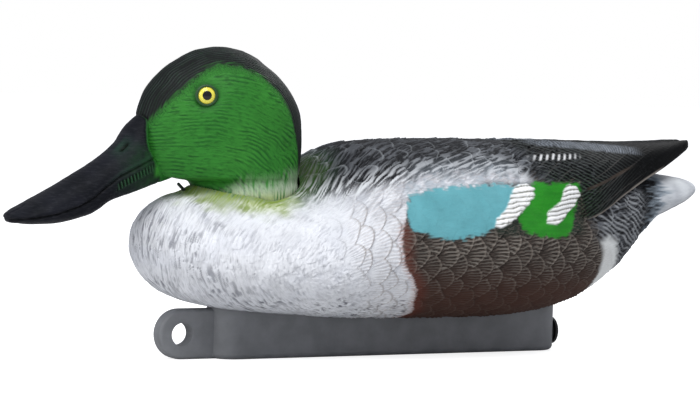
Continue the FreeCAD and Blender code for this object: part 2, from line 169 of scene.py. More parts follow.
# ---- Body: the moulded hull ----
# A hollow blow-moulded body with raised feathers, sprayed and dry-brushed by hand, from the blunt
# breast to the flat upturned tail. Matt paint: pale breast, brown flanks, coloured wing panel.
def smooth_rows(table, places):
    """Every column of a table as a smooth curve over its first one: between two rows a cubic whose
    slope at a row is its two neighbouring slopes, weighted by nearness."""
    start = table[:, 0]
    step = np.diff(start)[:, None]
    slope = np.diff(table, axis=0) / step
    lean = np.empty_like(table)
    lean[1:-1] = (slope[:-1] * step[1:] + slope[1:] * step[:-1]) / (step[1:] + step[:-1])
    lean[0] = 1.5 * slope[0] - 0.5 * lean[1]
    lean[-1] = 1.5 * slope[-1] - 0.5 * lean[-2]
    row = np.clip(np.searchsorted(start, places) - 1, 0, len(start) - 2)
    share = ((places - start[row]) / step[row, 0])[:, None]
    near, far = share * share * (3 - 2 * share), share * (1 - share)
    return (table[row] * (1 - near) + table[row + 1] * near
            + step[row] * far * (lean[row] * (1 - share) - lean[row + 1] * share))


def ramp(value, start, end):
    """0 before start, 1 after end, and a smooth S between."""
    share = np.clip((value - start) / (end - start), 0, 1)
    return share * share * (3 - 2 * share)


def mottle(a, b, size, seed):
    """Smooth random hills from 0 to 1: values of a random grid of that spacing, blended by an S."""
    values = np.random.default_rng(seed).random((64, 64))
    a, b = a / size, b / size
    i, j = np.floor(a).astype(int), np.floor(b).astype(int)
    u, v = ramp(a - i, 0, 1), ramp(b - j, 0, 1)
    corner = [[values[(i + p) % 64, (j + q) % 64] for q in (0, 1)] for p in (0, 1)]
    return ((corner[0][0] * (1 - v) + corner[0][1] * v) * (1 - u)
            + (corner[1][0] * (1 - v) + corner[1][1] * v) * u)


def tint(colour, other, share):
    """The first colour with that share of the second, at each point."""
    if isinstance(other, str):
        other = np.array(linear(other))
    return colour * (1 - share[..., None]) + other * share[..., None]


def panel(x, z, outline, soft):
    """1 inside a closed outline, 0 outside, by signed distance to its nearest side."""
    corners = np.array(outline, float)
    nearest = np.full(x.shape, 1e9)
    inside = np.zeros(x.shape, bool)
    for (ax, az), (bx, bz) in zip(corners, np.roll(corners, -1, axis=0)):
        px, pz, dx, dz = x - ax, z - az, bx - ax, bz - az
        along = np.clip((px * dx + pz * dz) / (dx * dx + dz * dz), 0, 1)
        nearest = np.minimum(nearest, np.hypot(px - along * dx, pz - along * dz))
        crosses = (az > z) != (bz > z)
        inside ^= crosses & (px < dx * pz / (dz if dz else 1e-9))
    return ramp(np.where(inside, nearest, -nearest), -soft, soft)


def feathers(s, t, pitch, width, sag, seed, scatter=0.2):
    """Overlapping rows of round-ended feathers. Row k ends at (k + 1) pitches less sag times the
    square of the place across, and a point lies on the foremost row that ends behind it. Gives the
    distance ahead of the tip, the place across (-1 to 1) and a random number for each feather."""
    chance = np.random.default_rng(seed).random((3, 96, 96))
    base = np.floor(s / pitch).astype(int)
    ahead, across, luck = (np.zeros(s.shape) for _ in range(3))
    found = np.zeros(s.shape, bool)
    for offset in (-2, -1, 0, 1, 2):
        row = base + offset
        place = t / width + 0.5 * (row % 2)
        column = np.floor(place).astype(int)
        side = 2 * (place - column) - 1
        side = side + scatter * (chance[1, row % 96, column % 96] - 0.5)
        tip = (row + 1 + scatter * (chance[0, row % 96, column % 96] - 0.5) * 2) * pitch - sag * side ** 2
        here = (tip > s) & ~found
        ahead = np.where(here, tip - s, ahead)
        across = np.where(here, side, across)
        luck = np.where(here, chance[2, row % 96, column % 96], luck)
        found |= here
    return ahead, across, luck


def barbs(ahead, across, width, length, spacing, wobble):
    """Fine ridges that fan out of the feather's root: a sine of the angle at the root, so many to
    the tip's width. Also gives the places across and along a barb in millimetres."""
    reach = length - ahead
    angle = np.arctan2(across * width / 2, np.maximum(reach, 1.0))
    over = angle * length + wobble
    return 0.5 + 0.5 * np.sin(2 * np.pi * over / spacing), over, np.hypot(reach, across * width / 2)


# Hull outline from breast to tail, as shares of its length, depth and half width: place, back,
# belly, half width, then how square the upper and lower halves of the section are.
HULL_ROWS = np.array([
    (-0.001, 0.425, 0.425, 0.000, 2.0, 2.0),
    (0.000, 0.470, 0.380, 0.090, 2.0, 2.0),
    (0.007, 0.560, 0.280, 0.350, 2.0, 2.0),
    (0.025, 0.640, 0.185, 0.550, 1.9, 2.0),
    (0.056, 0.690, 0.115, 0.700, 1.8, 2.1),
    (0.106, 0.718, 0.070, 0.815, 1.7, 2.2),
    (0.176, 0.725, 0.040, 0.900, 1.7, 2.2),
    (0.240, 0.765, 0.024, 0.948, 1.8, 2.3),
    (0.282, 0.880, 0.016, 0.970, 1.9, 2.3),
    (0.325, 0.957, 0.010, 0.985, 2.0, 2.3),
    (0.400, 0.988, 0.004, 1.000, 2.0, 2.3),
    (0.500, 1.000, 0.000, 1.000, 2.0, 2.3),
    (0.609, 0.995, 0.008, 0.960, 2.0, 2.3),
    (0.693, 0.965, 0.045, 0.860, 2.0, 2.2),
    (0.763, 0.925, 0.125, 0.725, 2.0, 2.1),
    (0.818, 0.885, 0.255, 0.580, 2.0, 2.0),
    (0.866, 0.850, 0.420, 0.450, 2.0, 2.0),
    (0.905, 0.830, 0.530, 0.380, 2.0, 2.0),
    (0.939, 0.815, 0.585, 0.345, 2.0, 2.0),
    (0.969, 0.802, 0.640, 0.325, 2.0, 2.0),
    (0.992, 0.785, 0.695, 0.225, 2.0, 2.0),
    (1.000, 0.765, 0.720, 0.100, 2.0, 2.0),
    (1.001, 0.742, 0.742, 0.000, 2.0, 2.0),
])
HULL_WIDEST = 0.45
HULL_DEPTH = 102.0
HULL_SPACING = 0.62
HULL_GIRTH_STEPS = 600
body_low, body_high = (np.array(corner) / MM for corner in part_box("body_shell"))
hull_length = body_high[0] - body_low[0]
hull_half_width = (body_high[1] - body_low[1]) / 2
hull_base = body_low[2]
neck_axis = np.array(frame["joints"][0]["pos_m"]) / MM
FLANK_LEVEL = hull_base + HULL_WIDEST * HULL_DEPTH


def hull_rows_in_mm():
    """The outline in millimetres, with the distance along it from the breast as first column."""
    rows = HULL_ROWS.copy()
    rows[:, 0] = body_low[0] + hull_length * rows[:, 0]
    rows[:, 1:3] = hull_base + HULL_DEPTH * rows[:, 1:3]
    rows[:, 3] *= hull_half_width
    steps = np.linalg.norm(np.diff(rows[:, :4], axis=0) * (1.0, 0.7, 0.7, 0.7), axis=1)
    return np.column_stack([np.append(0, np.cumsum(steps)), rows])


def oval(top, bottom, half_width, upper, lower, angle):
    """A superellipse round each section: across = cos^(2/n), up = sin^(2/n), n by half."""
    widest = bottom + HULL_WIDEST * (top - bottom)
    square = np.where(np.sin(angle) >= 0, upper, lower)
    rise = np.where(np.sin(angle) >= 0, top - widest, widest - bottom)
    across = half_width * np.sign(np.cos(angle)) * np.abs(np.cos(angle)) ** (2 / square)
    return across, widest + rise * np.sign(np.sin(angle)) * np.abs(np.sin(angle)) ** (2 / square)


def hull_surface():
    """Points of the smooth hull on a grid of distance from the breast by angle round the girth,
    from the belly line up the right side, over the back and down the left side."""
    rows = hull_rows_in_mm()
    length = rows[-1, 0]
    along = np.linspace(0, length, int(length / HULL_SPACING))
    fine = smooth_rows(rows, along)
    fine[:, 4] = np.maximum(fine[:, 4], 0)
    angle = np.radians(np.linspace(-90, 270, HULL_GIRTH_STEPS + 1))[None, :]
    x, top, bottom, half, upper, lower = (fine[:, i:i + 1] for i in range(1, 7))
    y, z = oval(top, bottom, half, upper, lower, angle)
    points = np.stack([x + 0 * y, y, z], axis=-1)
    s = np.repeat(along[:, None], y.shape[1], axis=1)
    t = np.repeat(-np.cumsum(np.append(0, np.full(HULL_GIRTH_STEPS, 380 / HULL_GIRTH_STEPS)))[None, :] + 190,
                  len(along), axis=0)
    return points, s, t


def directions(points):
    """Unit normals of a grid, from the cross product of its two slopes; a pole takes its
    neighbour row's mean."""
    first, second = np.gradient(points, axis=0), np.gradient(points, axis=1)
    normal = np.cross(first, second)
    size = np.linalg.norm(normal, axis=-1, keepdims=True)
    normal = normal / np.maximum(size, 1e-12)
    for pole, beside in ((0, 1), (-1, -2)):
        if size[pole].max() < 1e-6 * size[beside].max() + 1e-9:
            mean = normal[beside].mean(axis=0)
            normal[pole] = mean / np.linalg.norm(mean)
    return normal


# Paint borders on either side, as place along the duck and height above the table, millimetres.
BREAST_EDGE = ((29, 5.6), (36, 0.2), (42.5, -4), (48.5, -8.6), (54, -12.7), (60, -15.5), (66, -18),
               (71, -19), (77, -17), (81, -14), (86, -13), (95, -10))
MANTLE_EDGE = ((-66, 86), (-58, 90), (-47, 92.3), (-41, 93.7), (-33, 96), (-22, 98.5), (-9.5, 101.2),
               (8, 103.5), (20, 105), (41, 106.5), (60, 107), (70, 104.5), (80, 102), (103, 102),
               (106, 90), (112, 78), (135, 70))
BLUE_PANEL = ((-9.9, 94.6), (-13, 86), (-14, 81), (-12.1, 76.4), (-4.8, 74.8), (5.6, 72), (16.4, 71),
              (32, 73.5), (43, 78), (62, 90), (66, 100.4), (44.9, 100.6), (18.4, 99.5), (7.2, 97.9),
              (-3.4, 96.2))
SPECULUM = ((72, 101.6), (101, 102.3), (103.4, 99), (99.3, 86.8), (95.5, 75.9), (91, 71.2), (71, 72.6),
            (60, 76.4), (57, 84), (66, 92))
FRONT_BAR = ((63.8, 100.6), (69, 101.2), (71.8, 99), (71.2, 94.8), (67.6, 91), (60, 85.4), (51.6, 79.8),
             (44.7, 77), (40.9, 78.2), (42.3, 81.7), (49.7, 87.2), (56.2, 94.8), (60, 98.9))
REAR_BAR = ((92.4, 100.4), (95.5, 101.4), (99.5, 100.4), (102.9, 96.4), (98.6, 89.6), (90, 81.3),
            (84.1, 78.7), (77.5, 79.6), (77.9, 85.4), (87.6, 91.9), (90, 97))
RUMP_SPOT = ((121, 68), (127, 71), (135, 68), (139, 60), (148, 48), (150, 36), (136, 30), (127, 34), (126, 42),
             (125.5, 52), (124, 62))
RIB_PITCH = 2.5
NECK_FLARE = 3.2
NECK_OPENING = 30.3
NECK_WIDENING = 0.9
BARB_PITCH = 2.4
STROKE_PITCH = 2.4
STROKE_LEAN = 0.75
BREAST_CENTRE = (-20.0, 58.0)


def border(table, values):
    places, levels = zip(*table)
    return np.interp(values, places, levels)


def plumage(x, y, z, s, t):
    """Relief in millimetres, paint, brushed-on colour with its strength, gloss, and the places
    across and along the barbs, at each point of the body or the folded wings."""
    drift = mottle(s, t, 7.0, 3)
    ahead, across, luck = feathers(s + 2.0 * drift, t + 2.5 * mottle(s, t, 30.0, 4), 8.5, 18.0, 5.0, 11, 0.25)
    ridge, over, along = barbs(ahead, across, 18.0, 38.0, BARB_PITCH, 1.0 * mottle(s, t, 4.0, 12))
    slope = 1 - ahead / 13.5
    lip = np.exp(-((ahead - 0.6) / 0.55) ** 2)
    flank_lift = 0.6 * slope + 0.42 * ridge * ramp(slope, 0.1, 0.45) + 0.35 * lip - 0.2 * across ** 2

    height = -np.abs(t)
    ruffle = mottle(s, t, 9.0, 5)
    bow = 5 * mottle(s, t, 26.0, 23) + 1.2 * mottle(s, t, 6.0, 22)
    behind = np.clip(x + 60, 0, 160)
    rise = STROKE_LEAN * behind - (STROKE_LEAN - 0.2) * behind ** 2 / 320
    top_over = 0.85 * (height - rise) + bow
    top_along = x
    bristle = 0.7 * mottle(top_over, top_along * 0.12, 0.85, 24) + 0.3 * mottle(top_over, top_along * 0.22, 1.5, 25)
    top_ahead, top_across, top_luck = feathers(s + 6 * ruffle, t + 5 * drift, 10.5, 13.0, 5.5, 21, 0.5)
    top_slope = 1 - top_ahead / 16.0
    top_lip = np.exp(-((top_ahead - 0.7) / 0.7) ** 2)
    back_lift = 0.7 * top_slope + 0.9 * bristle + 0.3 * top_lip - 0.3 * top_across ** 2

    # The breast's short strokes lie along flat ovals about its middle.
    rings = np.hypot(x - BREAST_CENTRE[0], 1.5 * (z - BREAST_CENTRE[1])) - 0.8 * np.abs(y)
    rings = rings + 2.5 * mottle(x, z, 9.0, 35)
    round_them = 60 * np.arctan2(1.5 * (z - BREAST_CENTRE[1]), BREAST_CENTRE[0] - x)
    down_ahead, down_across, down_luck = feathers(300 - rings, round_them, 6.0, 7.0, 3.0, 31, 0.6)
    tick = 0.7 * mottle(rings, round_them * 0.3, 0.9, 32) + 0.3 * mottle(rings, round_them * 0.4, 1.8, 34)
    dash = ramp(mottle(rings * 0.5, round_them, 5.5, 36), 0.25, 0.7)
    down_lift = 0.4 * (1 - down_ahead / 9.0) + 0.6 * ramp(tick, 0.25, 0.62) * (0.5 + 0.5 * dash)

    breast_edge = x - border(BREAST_EDGE, z)
    stroke = mottle((x - z) * 1.0, (x + z) * 0.22, 2.0, 41) - 0.5
    mantle = ramp(z - border(MANTLE_EDGE, x) + 4 * stroke + 10 * (bristle - 0.5), -4.0, 4.0)
    mantle = mantle * ramp(x + 0.9 * (z - 90), -66, -58)
    breast_edge = breast_edge + 2.6 * (0.6 - np.abs(np.sin(np.pi * (z - 12) / 23)))
    pale = 1 - ramp(breast_edge + 1.2 * (ridge - 0.5) + 1.4 * (mottle(s, t, 2.0, 54) - 0.5), -0.6, 0.9)
    pale = np.maximum(pale, ramp(z, 93, 96) * ramp(75 - x, 0, 5))
    wander = 2.6 * (mottle(x, z, 2.4, 52) - 0.5) + 0.8 * (bristle - 0.5)
    waver = 2.4 * (mottle(x, z, 2.0, 53) - 0.5) + 1.0 * (ridge - 0.5)
    blue = panel(x + wander, z + waver, BLUE_PANEL, 1.2)
    green = panel(x + wander, z + waver, SPECULUM, 1.2)
    ragged = 1.3 * (mottle(x, z, 1.8, 51) - 0.5)
    bars = np.maximum(panel(x + ragged, z, FRONT_BAR, 0.7), panel(x + ragged, z, REAR_BAR, 0.7))
    wing_panel = np.maximum(np.maximum(blue, green), ramp(x, 38, 44) * ramp(110 - x, 0, 8) * ramp(z, 70, 76)
                            * (1 - ramp(z, 100, 104)))
    spot = panel(x, z, RUMP_SPOT, 3.0)
    rear = ramp(x + 0.35 * (z - 60), 112, 130)

    rear_foot = 60 - 24 * ramp(x, 126, 150)
    back = np.maximum(mantle, rear * ramp(z, rear_foot, rear_foot + 12))
    down = (1 - ramp(breast_edge + 4 * drift, -40, -26)) * (1 - back)
    lift = flank_lift * (1 - back) * (1 - down) + back_lift * back + down_lift * down
    lift = lift * (1 - 0.9 * np.maximum(blue, green)) * (1 - 0.6 * ramp(z, 93, 97) * (1 - back) * ramp(x, -25, -10))
    lift = lift + 0.3 * blue * mottle(x + 0.4 * z, z * 1.6, 3.0, 61)
    lift = lift + 0.14 * green * (0.5 + 0.5 * np.sin(2 * np.pi * (z + 0.05 * x) / 2.4))
    rib = 0.5 + 0.5 * np.sin(2 * np.pi * (z - 0.12 * x + 0.9 * mottle(x, z, 5.0, 62)) / RIB_PITCH)
    lift = lift + bars * (0.25 + 0.75 * rib ** 0.7)

    shape = x.shape + (3,)
    ridge_light = ramp(ridge, 0.58, 0.95)
    high_flank = ramp(z, 36, 64)
    paint = tint(np.zeros(shape) + linear("#422d26"), "#2d2825", high_flank)
    paint = tint(paint, "#130e0c", (1 - ramp(slope, 0.0, 0.2)) * (0.2 + 0.3 * high_flank))
    barb_light = ridge_light * ramp(slope, 0.15, 0.7) * (0.45 + 0.55 * luck)
    paint = tint(paint, "#918c84", barb_light * (0.1 + 0.64 * high_flank))
    paint = tint(paint, "#8d857c", lip * (0.12 + 0.34 * high_flank))
    red = ramp(breast_edge, -0.5, 1.0) * (1 - ramp(breast_edge, 1.5, 10)) * (1 - ramp(z, 76, 84))
    paint = tint(paint, "#5a322a", 0.85 * red * (1 - 0.3 * ridge_light))
    recess = (1 - ramp(tick, 0.28, 0.5)) * (0.25 + 0.75 * dash)
    front = 1 - ramp(x, -128, -92)
    low = 1 - ramp(z + 0.04 * (x + 60), 30, 46)
    breast = np.zeros(shape) + linear("#dfe1e5")
    breast = tint(breast, "#c9cdd6", 0.5 * mottle(x, z, 18.0, 71) * mottle(x, z, 5.0, 72))
    breast = tint(breast, "#7f8189", recess * np.clip(0.26 + 0.5 * front + 0.75 * low, 0, 0.9))
    breast = tint(breast, "#4c4e54", low * recess * 0.7 * ramp(x, -120, -70))
    high_side = ramp(z, 76, 92) * ramp(x, -60, -30)
    breast = tint(breast, "#8d9098", 0.5 * high_side * (1 - ramp(bristle, 0.35, 0.6)))
    rows_show = ramp(breast_edge, -36, -22)
    breast = tint(breast, "#8f8781", 0.6 * rows_show * ramp(1.1 - np.abs(ahead - 0.3), 0, 0.8) * (1 - ramp(z, 82, 92)))
    breast = tint(breast, "#b8b0ac", 0.35 * rows_show * (1 - ramp(ridge, 0.1, 0.5)) * ramp(slope, 0.2, 0.6))
    breast = tint(breast, "#a07a70", 0.7 * ramp(breast_edge, -5, 0.5) * (1 - ridge_light) * (1 - ramp(z, 76, 84)))
    paint = tint(paint, breast, pale)
    gap = ramp(x, -16, -8) * ramp(z, 94, 97) * pale
    paint = tint(paint, "#a3afb8", 0.55 * gap * ramp(mottle(s, t, 2.6, 73), 0.3, 0.75))

    dark = tint(np.zeros(shape) + linear("#17181b"), "#060707", 1 - ramp(top_slope, 0.0, 0.35))
    worn = (0.3 + 0.7 * mottle(s, t, 24.0, 79)) * (1 - 0.6 * ramp(x, 60, 110) * (1 - rear))
    worn = worn * (1 - 0.6 * ramp(z, 113, 126))
    lit = ramp(bristle, 0.46, 0.66)
    dark = tint(dark, "#7d8187", 0.62 * lit * worn)
    dark = tint(dark, "#a2a7ab", 0.7 * top_lip * ramp(top_luck, 0.2, 0.5) * worn)
    close = (1 - ramp(z - border(MANTLE_EDGE, x), 1, 12)) * (1 - ramp(x, 66, 76))
    dark = tint(dark, "#dfe2e5", 0.8 * lit * close)
    dark = tint(dark, "#7b848c", 0.35 * close * ramp(x, -12, 8) * (1 - ramp(x, 66, 76)))
    swirl = 0.5 + 0.5 * np.sin(2 * np.pi * (z + 0.5 * x + 5 * mottle(x, z, 9.0, 84)) / 3.4)
    waves = ramp(swirl * (0.35 + 0.65 * mottle(x, z, 5.0, 85)), 0.35, 0.65)
    dark = tint(dark, "#a9adb0", 0.6 * rear * waves * (1 - ramp(z, 92, 100)))
    paint = tint(paint, dark, back)
    paint = tint(paint, "#202c26", wing_panel * (1 - blue) * 0.9)
    blue_paint = tint(np.zeros(shape) + linear("#66a7b0"), "#55969f", 0.45 * mottle(x, z, 7.0, 74))
    paint = tint(paint, blue_paint, blue)
    green_paint = tint(np.zeros(shape) + linear("#2d8a27"), "#1f6b22", 0.5 * mottle(x * 0.3, z, 2.0, 75))
    paint = tint(paint, green_paint, green)
    bar_paint = tint(np.zeros(shape) + linear("#7f8078"), "#f1f2f2", ramp(rib, 0.04, 0.34))
    paint = tint(paint, bar_paint, bars)
    paint = tint(paint, "#dde0df", spot * 0.95)
    lift = lift * (1 - 0.6 * spot)

    ring = np.hypot(x - neck_axis[0], y)
    moss = (1 - ramp(ring, 34, 58)) * ramp(x, -78, -60) * ramp(z, 80, 88)
    paint = tint(paint, "#1f4d1f", 0.9 * moss * (0.3 + 0.7 * mottle(s, t, 2.2, 76)) * (1 - 0.6 * lit))
    spatter = ramp(mottle(s, t * 0.6, 1.6, 80), 0.2, 0.7)
    collar = (1 - ramp(ring + 9 * mottle(s, t, 7.0, 83), 36, 56)) * ramp(z, 72, 84)
    collar = collar * (1 - 0.9 * ramp(x, -72, -58))
    spatter = np.maximum(spatter * 0.5, ramp(mottle(rings, round_them * 0.3, 1.0, 86), 0.35, 0.6))
    paint = tint(paint, "#aebd68", 0.65 * collar)
    paint = tint(paint, "#748a2e", 0.9 * collar * spatter)
    shadow = np.clip(1.2 * (1 - ramp(ring, 31, 36)) + 0.6 * (1 - ramp(ring, 34, 48)) * (1 - ramp(x, -104, -94)), 0, 1)
    paint = tint(paint, "#2f5f27", 0.8 * shadow * (1 - spatter) * ramp(z, 74, 82))
    lift = lift * ramp(ring, 31, 46)
    lift = lift + NECK_FLARE * (1 - ramp(ring, 29.0, 42)) ** 1.6 * ramp(z, 76, 84) * (1 - ramp(x, -90, -72))

    tail = ramp(x, 160, 172)
    blade = np.zeros(shape) + linear("#d3d7da")
    blade = tint(blade, "#a9adb3", mottle(x, y, 6.0, 77) * 0.7)
    edge = x - 0.35 * (z - 88) + 15 * mottle(x * 0.15, z, 0.9, 78)
    blade = tint(blade, "#6f7f8c", 0.8 * (1 - ramp(edge, 186, 200)))
    blade = tint(blade, "#131416", 1 - ramp(edge, 178, 191))
    belly = hull_base + HULL_DEPTH * np.interp((x - body_low[0]) / hull_length, HULL_ROWS[:, 0], HULL_ROWS[:, 2])
    blade = tint(blade, "#1d1e21", (1 - ramp(z - belly, 3.0, 5.5)) * ramp(x, 176, 186))
    paint = tint(paint, blade, tail)
    smooth_tail = ramp(x, 178, 190)
    lift = lift * (1 - 0.85 * smooth_tail) * (1 - ramp(18 - np.abs(y), 0, 3) * ramp(45 - z, 0, 4))

    brush = np.zeros(x.shape + (4,))
    brush[..., :3] = tint(tint(np.zeros(shape) + linear("#84766d"), "#6d6e75", pale), "#7c8085", back)
    brush[..., 3] = 0.4 * (1 - pale) * high_flank + pale * (0.1 + 0.3 * low + 0.22 * front + 0.25 * high_side)
    brush[..., 3] = np.where(back > 0.5, 0.4 * worn, brush[..., 3])
    brush[..., 3] *= (1 - 0.9 * np.maximum(np.maximum(blue, green), bars)) * (1 - 0.6 * smooth_tail)
    over = np.where(down > 0.5, rings, np.where(back > 0.5, top_over, over))
    along = np.where(down > 0.5, round_them, np.where(back > 0.5, top_along, along))
    gloss = np.maximum(0.55 * blue, 0.6 * green)
    return lift, paint, brush, gloss, np.stack([over, along], axis=-1)


def grid_piece(name, points, normals=None, paint=None, brush=None, gloss=None, stroke=None, keep=None):
    """A mesh in metres from a grid of points in millimetres: one four-sided face per cell, also where a row
    runs into a pole; close_poles can merge such a pole's points afterwards. keep leaves out the cells where it is
    false."""
    rows, columns = points.shape[:2]
    number = np.arange(rows * columns).reshape(rows, columns)
    cells = np.stack([number[:-1, :-1], number[1:, :-1], number[1:, 1:], number[:-1, 1:]], -1)
    if keep is not None:
        cells = cells[keep]
    cells = cells.reshape(-1, 4)
    flat = points.reshape(-1, 3)
    normal = directions(points).reshape(-1, 3) if normals is None else normals.reshape(-1, 3)
    across = np.cross(flat[cells[:, 1]] - flat[cells[:, 0]], flat[cells[:, 3]] - flat[cells[:, 0]])
    across += np.cross(flat[cells[:, 3]] - flat[cells[:, 2]], flat[cells[:, 1]] - flat[cells[:, 2]])
    if (across * normal[cells[:, 0]]).sum() < 0:
        cells = cells[:, ::-1]
    used, cells = np.unique(cells, return_inverse=True)
    cells = cells.reshape(-1, 4)
    mesh = bpy.data.meshes.new(name)
    mesh.vertices.add(len(used))
    mesh.vertices.foreach_set("co", (flat[used] * MM).astype(np.float32).ravel())
    mesh.loops.add(cells.size)
    mesh.loops.foreach_set("vertex_index", cells.astype(np.int32).ravel())
    mesh.polygons.add(len(cells))
    mesh.polygons.foreach_set("loop_start", np.arange(0, cells.size, 4, dtype=np.int32))
    mesh.update(calc_edges=True)
    mesh.polygons.foreach_set("use_smooth", np.ones(len(cells), bool))
    for label, values in (("paint", paint), ("brush", brush)):
        if values is not None:
            layer = mesh.attributes.new(label, "FLOAT_COLOR", "POINT")
            colours = np.ones((len(used), 4), np.float32)
            colours[:, :values.shape[-1]] = values.reshape(-1, values.shape[-1])[used]
            layer.data.foreach_set("color", colours.ravel())
    if gloss is not None:
        layer = mesh.attributes.new("gloss", "FLOAT", "POINT")
        layer.data.foreach_set("value", gloss.ravel()[used].astype(np.float32))
    if stroke is not None:
        layer = mesh.uv_layers.new(name="stroke")
        layer.data.foreach_set("uv", (stroke.reshape(-1, 2)[used] * MM)[cells.ravel()].astype(np.float32).ravel())
    mesh.normals_split_custom_set_from_vertices(normal[used])
    piece = bpy.data.objects.new(name, mesh)
    bpy.context.scene.collection.objects.link(piece)
    return piece


def close_poles(piece):
    """Merges the points that lie on each other, such as a pole's."""
    bpy.context.view_layer.objects.active = piece
    mesh = piece.data
    import bmesh
    work = bmesh.new()
    work.from_mesh(mesh)
    bmesh.ops.remove_doubles(work, verts=work.verts, dist=1e-6)
    work.to_mesh(mesh)
    work.free()


def painted_plastic(name, roughness, grit, shine):
    """Sprayed and dry-brushed vinyl paint on moulded plastic: the paint attribute, with the brush
    colour caught in fine hairs along the barbs, and a slight grit."""
    material, tree = new_material(name)
    paint = add(tree, "ShaderNodeAttribute", attribute_name="paint")
    brush = add(tree, "ShaderNodeAttribute", attribute_name="brush")
    gloss = add(tree, "ShaderNodeAttribute", attribute_name="gloss")
    lines = add(tree, "ShaderNodeUVMap", uv_map="stroke")
    # Barb hairs stand 0.8 mm apart and run 4 mm.
    drawn = add(tree, "ShaderNodeMapping", {"Vector": lines.outputs[0], "Scale": (1 / 0.0008, 1 / 0.004, 1.0)})
    hairs = add(tree, "ShaderNodeTexNoise", {"Vector": drawn.outputs[0], "Scale": 1.0, "Detail": 2.0,
                                             "Roughness": 0.6})
    caught = add(tree, "ShaderNodeMapRange", {"Value": hairs.outputs["Fac"], "From Min": 0.48, "From Max": 0.68})
    amount = add(tree, "ShaderNodeMath", {0: caught.outputs[0], 1: brush.outputs["Alpha"]}, operation="MULTIPLY")
    place = add(tree, "ShaderNodeTexCoord")
    cloud = add(tree, "ShaderNodeTexNoise", {"Vector": place.outputs["Object"], "Scale": 90.0, "Detail": 4.0})
    shade = add(tree, "ShaderNodeMapRange", {"Value": cloud.outputs["Fac"], "From Min": 0.3, "From Max": 0.7,
                                             "To Min": 0.9, "To Max": 1.06})
    coat = add(tree, "ShaderNodeMix", {"Factor": amount.outputs[0]}, data_type="RGBA")
    tree.links.new(paint.outputs["Color"], coat.inputs[6])
    tree.links.new(brush.outputs["Color"], coat.inputs[7])
    colour = add(tree, "ShaderNodeMix", {"Factor": 1.0}, data_type="RGBA", blend_type="MULTIPLY")
    tree.links.new(coat.outputs[2], colour.inputs[6])
    tree.links.new(shade.outputs[0], colour.inputs[7])
    specks = add(tree, "ShaderNodeTexNoise", {"Vector": place.outputs["Object"], "Scale": grit, "Detail": 3.0})
    dull = add(tree, "ShaderNodeMapRange", {"Value": gloss.outputs["Fac"], "To Min": roughness,
                                            "To Max": roughness - 0.3})
    rough = add(tree, "ShaderNodeMath", {0: dull.outputs[0], 1: specks.outputs["Fac"], 2: -0.06},
                operation="MULTIPLY_ADD")
    tree.links.new(dull.outputs[0], rough.inputs[2])
    rough.inputs[0].default_value = 0.0
    tree.links.remove(rough.inputs[0].links[0])
    rough.inputs[0].default_value = 0.12
    hair_relief = add(tree, "ShaderNodeBump", {"Height": hairs.outputs["Fac"], "Strength": 0.5, "Distance": 0.0003})
    relief = add(tree, "ShaderNodeBump", {"Height": specks.outputs["Fac"], "Strength": 0.25, "Distance": 0.0002,
                                          "Normal": hair_relief.outputs[0]})
    skin = add(tree, "ShaderNodeBsdfPrincipled", {"Base Color": colour.outputs[2], "Roughness": rough.outputs[0],
                                                  "Normal": relief.outputs[0], "IOR": 1.48,
                                                  "Specular IOR Level": shine})
    finish_material(tree, skin)
    return material


body_paint = painted_plastic("brushed_body_paint", 0.7, 1400.0, 0.1)
smooth_points, body_s, body_t = hull_surface()
x, y, z = np.moveaxis(smooth_points, -1, 0)
lift, paint, brush, gloss, stroke = plumage(x, y, z, body_s, body_t)
feathered = smooth_points + directions(smooth_points) * lift[..., None]
outward = directions(feathered)
if (outward[len(x) // 2, HULL_GIRTH_STEPS // 4] * (0, 1, 0)).sum() < 0:
    outward = -outward
    feathered = smooth_points - directions(smooth_points) * lift[..., None]
    outward = directions(feathered) * -1
cell_x = (x[:-1, :-1] + x[1:, 1:]) / 2
cell_y = (y[:-1, :-1] + y[1:, 1:]) / 2
cell_z = (z[:-1, :-1] + z[1:, 1:]) / 2
from_neck = np.hypot(cell_x - neck_axis[0], cell_y) - NECK_WIDENING * ramp(cell_z, 87, 93)
open_neck = (from_neck < NECK_OPENING) & (cell_z > neck_axis[2])
PARTS_ALONG = {"breast": (0.0, 0.34), "flank": (0.34, 0.67), "rump": (0.67, 1.0)}
girth = HULL_GIRTH_STEPS // 2
body_pieces = []
for part_name, (start, end) in PARTS_ALONG.items():
    first, last = int(start * (len(x) - 1)), int(end * (len(x) - 1))
    for side_name, columns in (("right", slice(0, girth + 1)), ("left", slice(girth, None))):
        area = (slice(first, last + 1), columns)
        cells = (slice(first, last), slice(columns.start, columns.start + girth))
        piece = grid_piece(side_name + "_" + part_name, feathered[area], outward[area], paint[area], brush[area],
                           gloss[area], stroke[area], ~open_neck[cells])
        piece.data.materials.append(body_paint)
        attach(piece, "hull")
        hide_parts("body_shell")
        body_pieces.append(piece)


